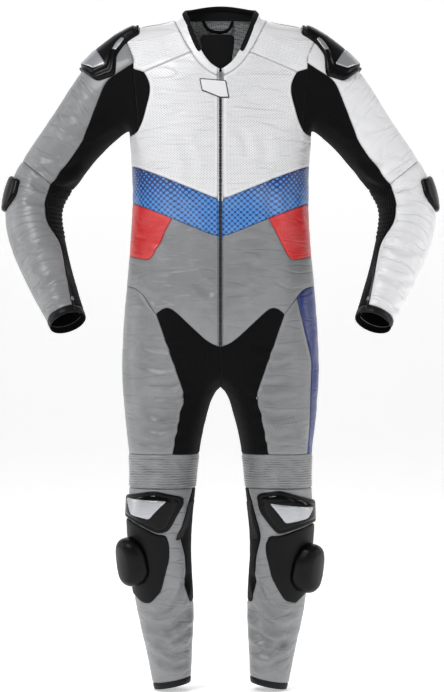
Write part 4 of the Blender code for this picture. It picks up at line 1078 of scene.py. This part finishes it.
ZIP_LIPS = [WHITE_LEATHER, DOTTED_LEATHER, GREY_LEATHER]
LIP_BORDERS = (-0.342, -0.422)
LIP_MIDDLE = (LIP_START + LIP_END) / 2 * MM
for number, name in enumerate(CLOTH):
    bm = bmesh.new()
    bm.from_mesh(suit_mesh)
    tag = bm.faces.layers.int["panel"]
    bmesh.ops.delete(bm, geom=[face for face in bm.faces if face[tag] != number], context="FACES")
    area = sum(face.calc_area() for face in bm.faces)
    mesh = bpy.data.meshes.new(name + "_cloth")
    bm.to_mesh(mesh)
    bm.free()
    mesh.shade_smooth()
    add_cloth_uv(mesh, name)
    material = finish_for(name)
    mesh.materials.append(material)
    inside = BLACK_LINING if any(word in name for word in BLACK_INSIDE) else LINING
    mesh.materials.append(COLLAR_LINING if name == "collar" else inside)
    if name == "zip_tape":
        for lip in ZIP_LIPS:
            mesh.materials.append(lip)
        for face in mesh.polygons:
            if abs(face.center.x) > LIP_MIDDLE:
                face.material_index = 2 + sum(face.center.z < border for border in LIP_BORDERS)
    piece = add_piece(name + "_cloth", mesh)
    thick = piece.modifiers.new("thickness", "SOLIDIFY")
    thick.thickness = THICKNESS
    thick.offset = -1.0
    thick.material_offset = 1
    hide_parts(name)
    slot_for(material)
    low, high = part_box(name)
    span = Vector(high) - Vector(low)
    max(span.z, span.x, span.y)
print("panels", len(CLOTH), "on", len(suit_mesh.polygons), "triangles")
bpy.data.meshes.remove(suit_mesh)

# %% [markdown]
# ## Guards
# The shoulder cups, elbow sliders, knee frames and knee pucks are moulded in one shot each, with a
# soft edge all round. Each is made over the outline of its plain solid: the outline is rounded, a
# fine grid is laid in it and cast on to the smooth suit, and the grid is raised by a height that
# depends on how far a point lies from the edge. Extruding the grid first leaves a flat underside.

# %% Outlines of the plain solids
def border_loop(bm):
    """The border of an open skin, in order."""
    edges = [edge for edge in bm.edges if edge.is_boundary]
    links = {}
    for edge in edges:
        for vert in edge.verts:
            links.setdefault(vert, []).append(edge.other_vert(vert))
    loops, seen = [], set()
    for start in links:
        if start in seen:
            continue
        run = [start]
        seen.add(start)
        while True:
            options = [vert for vert in links[run[-1]] if vert not in seen]
            if not options:
                break
            run.append(options[0])
            seen.add(options[0])
        loops.append(run)
    return [vert.co.copy() for vert in max(loops, key=len)]


def bends(run, slack):
    """The points of a run, but for its last, that stand more than slack off the line through it."""
    line = (run[-1] - run[0]).normalized()
    gaps = [abs(line.cross(point - run[0])) for point in run]
    worst = max(range(len(run)), key=gaps.__getitem__)
    if gaps[worst] <= slack:
        return [run[0]]
    return bends(run[:worst + 1], slack) + bends(run[worst:], slack)


def corners(loop, slack=1.2 * MM):
    """The corners of an outline whose sides are cut up into many short pieces."""
    middle = sum(loop, Vector((0, 0))) / len(loop)
    first = max(range(len(loop)), key=lambda i: (loop[i] - middle).length)
    loop = loop[first:] + loop[:first]
    far = max(range(len(loop)), key=lambda i: (loop[i] - loop[0]).length)
    return bends(loop[:far + 1], slack) + bends(loop[far:] + loop[:1], slack)


def rounded(points, radius):
    """Each corner becomes a short curve that starts and ends at most a radius from it."""
    made = []
    for before, corner, after in zip(points[-1:] + points[:-1], points, points[1:] + points[:1]):
        reach = min(radius, 0.45 * (before - corner).length, 0.45 * (after - corner).length)
        start = corner + (before - corner).normalized() * reach
        end = corner + (after - corner).normalized() * reach
        made += [start.lerp(corner, part).lerp(corner.lerp(end, part), part)
                 for part in (0.0, 0.25, 0.5, 0.75, 1.0)]
    return made


def meet(tree, start, way, reach, nearby):
    """Where a ray meets a surface, or the surface's nearest place to a point if it passes by."""
    place, normal, index, gap = tree.ray_cast(start, way, reach)
    if place is None:
        place, normal, index, gap = tree.find_nearest(nearby)
    return place, normal


class Seat:
    """Where a guard sits: its own flat view of the suit, looking straight at its middle."""

    reach = 0.08

    def __init__(self, loop, eye, radius):
        self.eye = eye.normalized()
        self.middle = sum(loop, Vector()) / len(loop)
        self.across = Vector((0, 0, 1)).cross(self.eye).normalized()
        self.up = self.eye.cross(self.across)
        self.outline = rounded(corners([self.flat(point) for point in loop]), radius)

    def flat(self, point):
        away = point - self.middle
        return Vector((away.dot(self.across), away.dot(self.up)))

    def cast(self, spot):
        """The point of the smooth suit under a flat place, and its normal."""
        above = self.eye * self.reach
        start = self.middle + self.across * spot.x + self.up * spot.y + above
        return meet(smooth_tree, start, -self.eye, 2 * self.reach, start - above)


def seat_under(name, radius):
    """The seat of a plain guard, found from the border and the facing of its underside."""
    skin = inner_skin(name)
    eye = sum((face.normal * face.calc_area() for face in skin.faces), Vector())
    loop = border_loop(skin)
    skin.free()
    return Seat(loop, eye, radius)


AHEAD = Vector((0, 0.6, 0))


def seat_in_front(points, side, radius):
    """A seat drawn in the front view, with its corners in millimetres out and up from the hem."""
    loop, eye = [], Vector()
    for out, up_mm in points:
        start = Vector((side * out, 0, up_mm - SHOULDER)) * MM
        place, normal = meet(smooth_tree, start - AHEAD, AHEAD, 1.0, start + Vector((0, -0.03, 0)))
        loop.append(place)
        eye += normal
    return Seat(loop, eye, radius)


def in_outline(spot, outline):
    """Whether a flat place is inside, by counting the sides that a line from it crosses."""
    inside = False
    for a, b in zip(outline, outline[1:] + outline[:1]):
        if (a.y > spot.y) != (b.y > spot.y) and spot.x < (b.x - a.x) * (spot.y - a.y) / (b.y - a.y) + a.x:
            inside = not inside
    return inside


def nearest_on(spot, outline):
    """The distance to an outline, and the nearest place on it."""
    best = None
    for a, b in zip(outline, outline[1:] + outline[:1]):
        line = b - a
        part = min(max((spot - a).dot(line) / max(line.length_squared, 1e-12), 0.0), 1.0)
        place = a + line * part
        gap = (place - spot).length
        if best is None or gap < best[0]:
            best = (gap, place)
    return best


# %% Mould a guard over its seat
# The guards are given this distance from seams, so that the leather shader paints no seam shade on them.
FAR_FROM_SEAMS = 99.0


def moulded(name, seat, height, cell=1.6 * MM, lift=0.3 * MM, straight=0.0):
    """A guard's mesh; height(distance from the edge) gives its metres above the leather."""
    outline = seat.outline
    low = Vector((min(p.x for p in outline), min(p.y for p in outline)))
    high = Vector((max(p.x for p in outline), max(p.y for p in outline)))
    size = high - low
    bm = bmesh.new()
    bmesh.ops.create_grid(bm, x_segments=math.ceil(size.x / cell), y_segments=math.ceil(size.y / cell),
                          size=0.5)
    for vert in bm.verts:
        vert.co = Vector((low.x + (vert.co.x + 0.5) * size.x, low.y + (vert.co.y + 0.5) * size.y, 0))
    outside = [face for face in bm.faces if not in_outline(face.calc_center_median().xy, outline)]
    bmesh.ops.delete(bm, geom=outside, context="FACES")
    for vert in bm.verts:
        if vert.is_boundary:
            vert.co.xy = nearest_on(vert.co.xy, outline)[1]
    inner = [vert for vert in bm.verts if not vert.is_boundary]
    for turn in range(2):
        bmesh.ops.smooth_vert(bm, verts=inner, factor=0.5, use_axis_x=True, use_axis_y=True)
    edge_layer = bm.verts.layers.float.new("edge")
    seam_distance = bm.verts.layers.float.new("seam")
    number = bm.verts.layers.int.new("number")
    rises, bases, aways, near = [], [], [], []
    bm.verts.index_update()
    for i, vert in enumerate(bm.verts):
        spot = vert.co.xy
        gap = nearest_on(spot, outline)[0]
        vert[edge_layer] = gap / MM
        vert[seam_distance] = FAR_FROM_SEAMS
        vert[number] = i
        base, away = seat.cast(spot)
        bases.append(base)
        aways.append(away)
        rises.append(height(gap))
        near.append([edge.other_vert(vert).index for edge in vert.link_edges])
    for turn in range(6):
        aways = [sum((aways[j] for j in others), aways[i]).normalized() for i, others in enumerate(near)]
    made = bmesh.ops.extrude_face_region(bm, geom=bm.faces[:])["geom"]
    top = {item for item in made if isinstance(item, bmesh.types.BMVert)}
    for vert in bm.verts:
        i = vert[number]
        vert.co = bases[i] + aways[i] * lift
        if vert in top:
            vert.co += aways[i].lerp(seat.eye, straight).normalized() * rises[i]
    bmesh.ops.recalc_face_normals(bm, faces=bm.faces[:])
    mesh = bpy.data.meshes.new(name)
    bm.to_mesh(mesh)
    bm.free()
    mesh.shade_smooth()
    return mesh


# %% Plastics and metals
def moulded_plastic(name, tint, rough, edge_rough=None, rim=0.0):
    """Black moulded plastic; within rim millimetres of the edge it may be more matt."""
    made, tree, shader, spot = start_material(name)
    pits = node(tree, "TexNoise", {"Vector": spot["Object"], "Scale": 900.0, "Detail": 2.0})
    swirls = node(tree, "TexNoise", {"Vector": spot["Object"], "Scale": 22.0, "Detail": 3.0})
    gap = node(tree, "Attribute", attribute_name="edge").outputs["Fac"]
    # The colour turns lighter within 1.4 mm of the edge.
    lighter_near_edge = smooth_step(tree, gap, 0.0, 1.4, 0.35, 0.0)
    tree.links.new(mix_colour(tree, lighter_near_edge, tint, times(tint, 3.2)),
                   shader.inputs["Base Color"])
    shine = smooth_step(tree, swirls.outputs["Fac"], 0.3, 0.7, rough - 0.04, rough + 0.06)
    if edge_rough is not None:
        inner = smooth_step(tree, gap, rim - 0.4, rim + 0.4)
        shine = maths(tree, "ADD", maths(tree, "MULTIPLY", shine, inner),
                      maths(tree, "MULTIPLY", maths(tree, "SUBTRACT", 1.0, inner), edge_rough))
    tree.links.new(shine, shader.inputs["Roughness"])
    shader.inputs["Specular IOR Level"].default_value = 0.2
    link_bumps(tree, shader, [(pits.outputs["Fac"], 0.00004)])
    return made


def edged_white(tree, spot):
    """White with a black edge, for the neck tab."""
    gap = node(tree, "Attribute", attribute_name="edge").outputs["Fac"]
    return mix_colour(tree, smooth_step(tree, gap, 1.9, 2.4), colour(10, 10, 11), WHITE)


def brushed_plate(name, tint):
    """Metal with fine lines from side to side."""
    made, tree, shader, spot = start_material(name)
    stretched = node(tree, "VectorMath", {0: spot["Object"], 1: (60.0, 60.0, 2400.0)}, operation="MULTIPLY")
    lines = node(tree, "TexNoise", {"Vector": stretched.outputs[0], "Scale": 1.0, "Detail": 3.0})
    tree.links.new(mix_colour(tree, smooth_step(tree, lines.outputs["Fac"], 0.3, 0.7, 0.0, 0.25), tint,
                              (0.2, 0.2, 0.2, 1.0)), shader.inputs["Base Color"])
    shader.inputs["Metallic"].default_value = 0.75
    tree.links.new(smooth_step(tree, lines.outputs["Fac"], 0.3, 0.7, 0.3, 0.46), shader.inputs["Roughness"])
    link_bumps(tree, shader, [(lines.outputs["Fac"], 0.00003)])
    return made


MATT_PLASTIC = moulded_plastic("matt black plastic", colour(8, 8, 9), 0.34)
FRAME_PLASTIC = moulded_plastic("black plastic with a gloss window", colour(6, 6, 7), 0.12, 0.42, 8.5)
PUCK_PLASTIC = moulded_plastic("black slider plastic", colour(9, 9, 10), 0.38)
BASE_LEATHER = leather("black guard leather", colour(7, 7, 8), gloss=0.5, crease=0.0, coat=0.0)
TAB_LEATHER = leather("white leather with a black edge", edged_white, crease=0.0)
# The vent mesh's holes are painted near black, as the shade inside the vent.
VENT_MESH = net_cloth("black vent mesh", colour(44, 44, 46), colour(3, 3, 3))
SILVER = brushed_plate("brushed silver", colour(196, 198, 202))
ZIP_METAL = brushed_plate("zip metal", colour(150, 152, 156))


# %% Height of each guard above the leather
def quarter(part):
    """The rise of a quarter circle over its run, both from 0 to 1."""
    part = min(max(part, 0.0), 1.0)
    return math.sqrt(1 - (1 - part) ** 2)


def dome(edge, full, run):
    """Rises from edge to full over a run, like a quarter of a circle."""
    return lambda gap: (edge + (full - edge) * quarter(gap / MM / run)) * MM


def rimmed(edge, rim, hollow, full, rim_width, groove):
    """A raised rim, then a shallow hollow, then a raised middle."""
    def height(gap):
        gap = gap / MM
        if gap < rim_width:
            return (edge + (rim - edge) * quarter(gap / (rim_width * 0.6))) * MM
        if gap < rim_width + groove:
            part = 0.5 - 0.5 * math.cos(2 * math.pi * (gap - rim_width) / groove)
            return (rim - (rim - hollow) * part) * MM
        return (rim + (full - rim) * quarter((gap - rim_width - groove) / 7.0)) * MM
    return height


def add_guard(name, seat, height, material, **settings):
    """A moulded guard with its finish, riding on the suit."""
    mesh = moulded(name, seat, height, **settings)
    mesh.materials.append(material)
    return add_piece(name, mesh)


STRAIGHT = {"knee_slider": 0.85}
GUARD_TABLE = [
    # node, corner radius, height profile, finish, slot, lift
    ("shoulder_cup", 9, rimmed(2.0, 8.5, 5.5, 11.0, 5.0, 3.5), MATT_PLASTIC, "black_plastic", 0.3),
    ("elbow_slider", 12, dome(3.0, 9.0, 9.0), MATT_PLASTIC, "black_plastic", 0.3),
    ("knee_frame", 11, rimmed(2.4, 6.4, 4.6, 7.8, 7.0, 2.4), FRAME_PLASTIC, "black_plastic", 0.3),
    ("knee_base", 9, dome(1.4, 3.6, 6.0), BASE_LEATHER, "black_leather", 0.3),
    ("knee_slider", 24, dome(12.0, 33.0, 19.0), PUCK_PLASTIC, "black_plastic", 3.0),
    ("shoulder_plate", 4, dome(0.8, 2.0, 2.0), SILVER, "silver_plate", 11.0),
    ("knee_plate", 5, dome(0.8, 2.0, 2.0), SILVER, "silver_plate", 7.6),
]
for kind, radius, height, material, slot, lift in GUARD_TABLE:
    for letter, side in SIDES:
        name = kind + letter
        piece = add_guard(name + "_moulded", seat_under(name, radius * MM), height, material,
                          lift=lift * MM, straight=STRAIGHT.get(kind, 0.0))
        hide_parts(name)
tab = add_guard("neck_tab_leather", seat_under("neck_tab", 2.5 * MM), dome(1.4, 2.0, 2.0), TAB_LEATHER)
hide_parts("neck_tab")
print("guards", 2 * len(GUARD_TABLE) + 1)

# %% Slots and vents
SLOT_PLACES = [(232, 1386), (213, 1413), (205, 1408), (223, 1383)]
VENT_PLACES = {"_R": [(56, 418), (69, 414), (97, 331), (84, 334)],
               "_L": [(54, 415), (67, 418), (81, 335), (67, 333)]}
for letter, side in SIDES:
    seat = seat_in_front(SLOT_PLACES, side, 3 * MM)
    add_guard("shoulder_slot" + letter, seat, dome(0.5, 1.2, 2.0), SILVER, lift=8.4 * MM, cell=1.2 * MM)
    seat = seat_in_front(VENT_PLACES[letter], side, 6 * MM)
    add_guard("knee_vent" + letter, seat, rimmed(1.0, 2.6, 1.0, 1.4, 2.2, 2.4), VENT_MESH)
print("slots and vents", 2 * len(SIDES))

# %% [markdown]
# ## Bindings, loop and flap
# The neck is bound with a thick knit, a loop to hang the suit by is sewn inside, and a soft flap
# keeps the wind out behind the zip. Their plain solids have the right size, so a copy of each is
# merged, its triangles are joined into quads and a subdivision modifier rounds it.

# %% Soften the binding, the loop and the flap
SOFT_PIECES = [
    # node,            piece,           finish,       length
    ("collar_binding", "neck_binding", BINDING, 0.44),
    ("hanger_loop", "hanging_loop", BINDING, 0.11),
    ("wind_flap", "flap_behind_zip", BLACK_LINING, 0.135),
]
for node_name, name, material, length in SOFT_PIECES:
    bm = bmesh.new()
    bm.from_mesh(frame["nodes"][node_name].data)
    bmesh.ops.remove_doubles(bm, verts=bm.verts[:], dist=1e-6)
    bmesh.ops.join_triangles(bm, faces=bm.faces[:], angle_face_threshold=math.radians(30),
                             angle_shape_threshold=math.radians(60))
    bmesh.ops.recalc_face_normals(bm, faces=bm.faces[:])
    area = sum(face.calc_area() for face in bm.faces) / 2
    mesh = bpy.data.meshes.new(name)
    bm.to_mesh(mesh)
    bm.free()
    mesh.materials.clear()
    mesh.materials.append(material)
    mesh.shade_smooth()
    piece = add_piece(name, mesh)
    smooth = piece.modifiers.new("round", "SUBSURF")
    smooth.levels = 2
    smooth.render_levels = 2
    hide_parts(node_name)
print("soft pieces", len(SOFT_PIECES))

# %% [markdown]
# ## Stitches and zip teeth
# Every leather edge is sewn down with a row of thread close to the seam. Each stitch is the same
# tiny spindle, made once by an operator and copied along the seams into one mesh for each thread.
# The zips' teeth are small blocks, laid in the same way along a line that is cast on to the suit.

# %% Lay copies of a small shape
relief_tree = BVHTree.FromBMesh(whole)
whole.faces.ensure_lookup_table()
face_panels = [face[panel_of] for face in whole.faces]


def small_shape(make, stretch, **settings):
    """The points and triangles of a shape that an operator makes, stretched to its size."""
    bm = bmesh.new()
    make(bm, **settings)
    bmesh.ops.triangulate(bm, faces=bm.faces[:])
    verts = np.array([vert.co for vert in bm.verts]) * np.array(stretch) * MM
    faces = np.array([[vert.index for vert in face.verts] for face in bm.faces])
    bm.free()
    return verts, faces


def laid_copies(name, shape, spots, material):
    """One mesh with a copy of the shape at each spot: a place, a way along and a way out."""
    verts, faces = shape
    along = np.array([spot[1] for spot in spots])
    out = np.array([spot[2] for spot in spots])
    aside = np.cross(out, along)
    places = np.array([spot[0] for spot in spots])[:, None, :]
    placed = places + (verts[None, :, 0:1] * along[:, None, :] + verts[None, :, 1:2] * aside[:, None, :]
                       + verts[None, :, 2:3] * out[:, None, :])
    numbers = faces[None, :, :] + (np.arange(len(spots)) * len(verts))[:, None, None]
    mesh = bpy.data.meshes.new(name)
    mesh.from_pydata(placed.reshape(-1, 3).tolist(), [], numbers.reshape(-1, 3).tolist())
    mesh.materials.append(material)
    return add_piece(name, mesh)


def laid_flat(along, out):
    """The way along, turned to lie in the surface."""
    return (along - out * along.dot(out)).normalized()


# %% Walk along every seam
STITCH_PITCH, STITCH_ASIDE = 4.2 * MM, 2.7 * MM
STITCH_SIZE = (1.5, 0.36, 0.3)


def seam_chains(bm):
    """The seam edges in order, as runs of points that end where three panels meet."""
    links = {}
    for edge in bm.edges:
        if is_seam(edge):
            pair = tuple(sorted(face[panel_of] for face in edge.link_faces))
            for vert in edge.verts:
                links.setdefault((pair, vert), []).append(edge.other_vert(vert))
    chains, used = [], set()
    ends = [key for key, others in links.items() if len(others) != 2] + list(links)
    for pair, start in ends:
        for second in links[(pair, start)]:
            if (start, second) in used:
                continue
            run, before, here = [start, second], start, second
            used |= {(start, second), (second, start)}
            while len(links[(pair, here)]) == 2:
                after = next(vert for vert in links[(pair, here)] if vert is not before)
                if (here, after) in used:
                    break
                used |= {(here, after), (after, here)}
                run.append(after)
                before, here = here, after
            chains.append([vert.co.copy() for vert in run])
    return chains


def even_spots(run, pitch):
    """Points at an even pitch along a run, with the way along it."""
    spots, left = [], pitch / 2
    for a, b in zip(run, run[1:]):
        length = (b - a).length
        while left < length:
            spots.append((a.lerp(b, left / length), (b - a) / length))
            left += pitch
        left -= length
    return spots


threads = {"light": [], "dark": []}
for run in seam_chains(whole):
    for spot, along in even_spots(run, STITCH_PITCH):
        place, out, index, gap = relief_tree.find_nearest(spot)
        aside = out.cross(along).normalized()
        for sign in (-1, 1):
            place, out, index, gap = relief_tree.find_nearest(spot + aside * sign * STITCH_ASIDE)
            finish = finish_for(CLOTH[face_panels[index]])
            if finish in (STRETCH, RIB_STRETCH):
                continue
            thread = "light" if finish.name.startswith(("white", "grey")) else "dark"
            threads[thread].append((place + out * 0.15 * MM, laid_flat(along, out), out))
spindle = small_shape(bmesh.ops.create_icosphere, STITCH_SIZE, subdivisions=1, radius=1.0)


def thread_cloth(name, tint):
    """Twisted sewing thread."""
    made, tree, shader, spot = start_material(name)
    twist = node(tree, "TexNoise", {"Vector": spot["Object"], "Scale": 1500.0, "Detail": 1.0})
    tree.links.new(mix_colour(tree, smooth_step(tree, twist.outputs["Fac"], 0.3, 0.7, 0.0, 0.4), tint,
                              times(tint, 0.6)), shader.inputs["Base Color"])
    shader.inputs["Roughness"].default_value = 0.6
    return made


for name, tint in (("light", colour(186, 187, 190)), ("dark", colour(40, 44, 70))):
    piece = laid_copies("stitches_" + name, spindle, threads[name], thread_cloth(name + " thread", tint))
    piece.data.shade_smooth()
    print("stitches", name, len(threads[name]))


# %% Zip teeth
TEETH_METAL = brushed_plate("dark zip teeth", colour(70, 71, 74))
TEETH_PITCH = 2.4 * MM
FRONT_TEETH_TOP, FRONT_STEPS, FRONT_STEP = 1288, 91, 6
CUFF_ZIP = [(328, 918), (320, 880), (311, 848), (305, 826)]


def cast_front(out, up_mm):
    """The place of the folded suit that the front view shows here."""
    start = Vector((out, 0, up_mm - SHOULDER)) * MM
    return meet(relief_tree, start - AHEAD, AHEAD, 1.0, start)[0]


def block(size):
    """A small box, with its sizes in millimetres."""
    return small_shape(bmesh.ops.create_cube, size, size=1.0)


def zip_teeth(name, run, aside, size):
    """Two rows of blocks along a run, set like fingers between each other."""
    teeth = []
    for sign, shift in ((-1, 0.0), (1, TEETH_PITCH / 2)):
        for spot, along in even_spots(run, TEETH_PITCH):
            place, out, index, gap = relief_tree.find_nearest(spot + along * shift)
            flat = laid_flat(along, out)
            place = place + out.cross(flat) * sign * aside * MM
            teeth.append((place + out * size[2] * 0.3 * MM, flat, out))
    return laid_copies(name, block(size), teeth, TEETH_METAL)


front_line = [cast_front(0.0, FRONT_TEETH_TOP - step * FRONT_STEP) for step in range(FRONT_STEPS)]
zip_teeth("front_zip_teeth", front_line, 0.75, (1.2, 1.9, 1.6))
for letter, side in SIDES:
    line = [cast_front(side * out, height) for out, height in CUFF_ZIP]
    zip_teeth("cuff_zip_teeth" + letter, line, 0.7, (1.2, 1.7, 1.6))
    place, out, index, gap = relief_tree.find_nearest(line[2])
    flat = laid_flat((line[-1] - line[1]).normalized(), out)
    piece = laid_copies("cuff_zip_slider" + letter, block((9.0, 5.6, 3.4)),
                        [(place + out * 1.6 * MM, flat, out)], ZIP_METAL)
    soft = piece.modifiers.new("soft edges", "BEVEL")
    soft.width = 1.0 * MM
    soft.segments = 3
print("zip teeth laid")

# %% Finishes for the solids that stay
for name in ("zip_slider", "zip_pull"):
    frame["nodes"][name].material_slots[0].material = ZIP_METAL
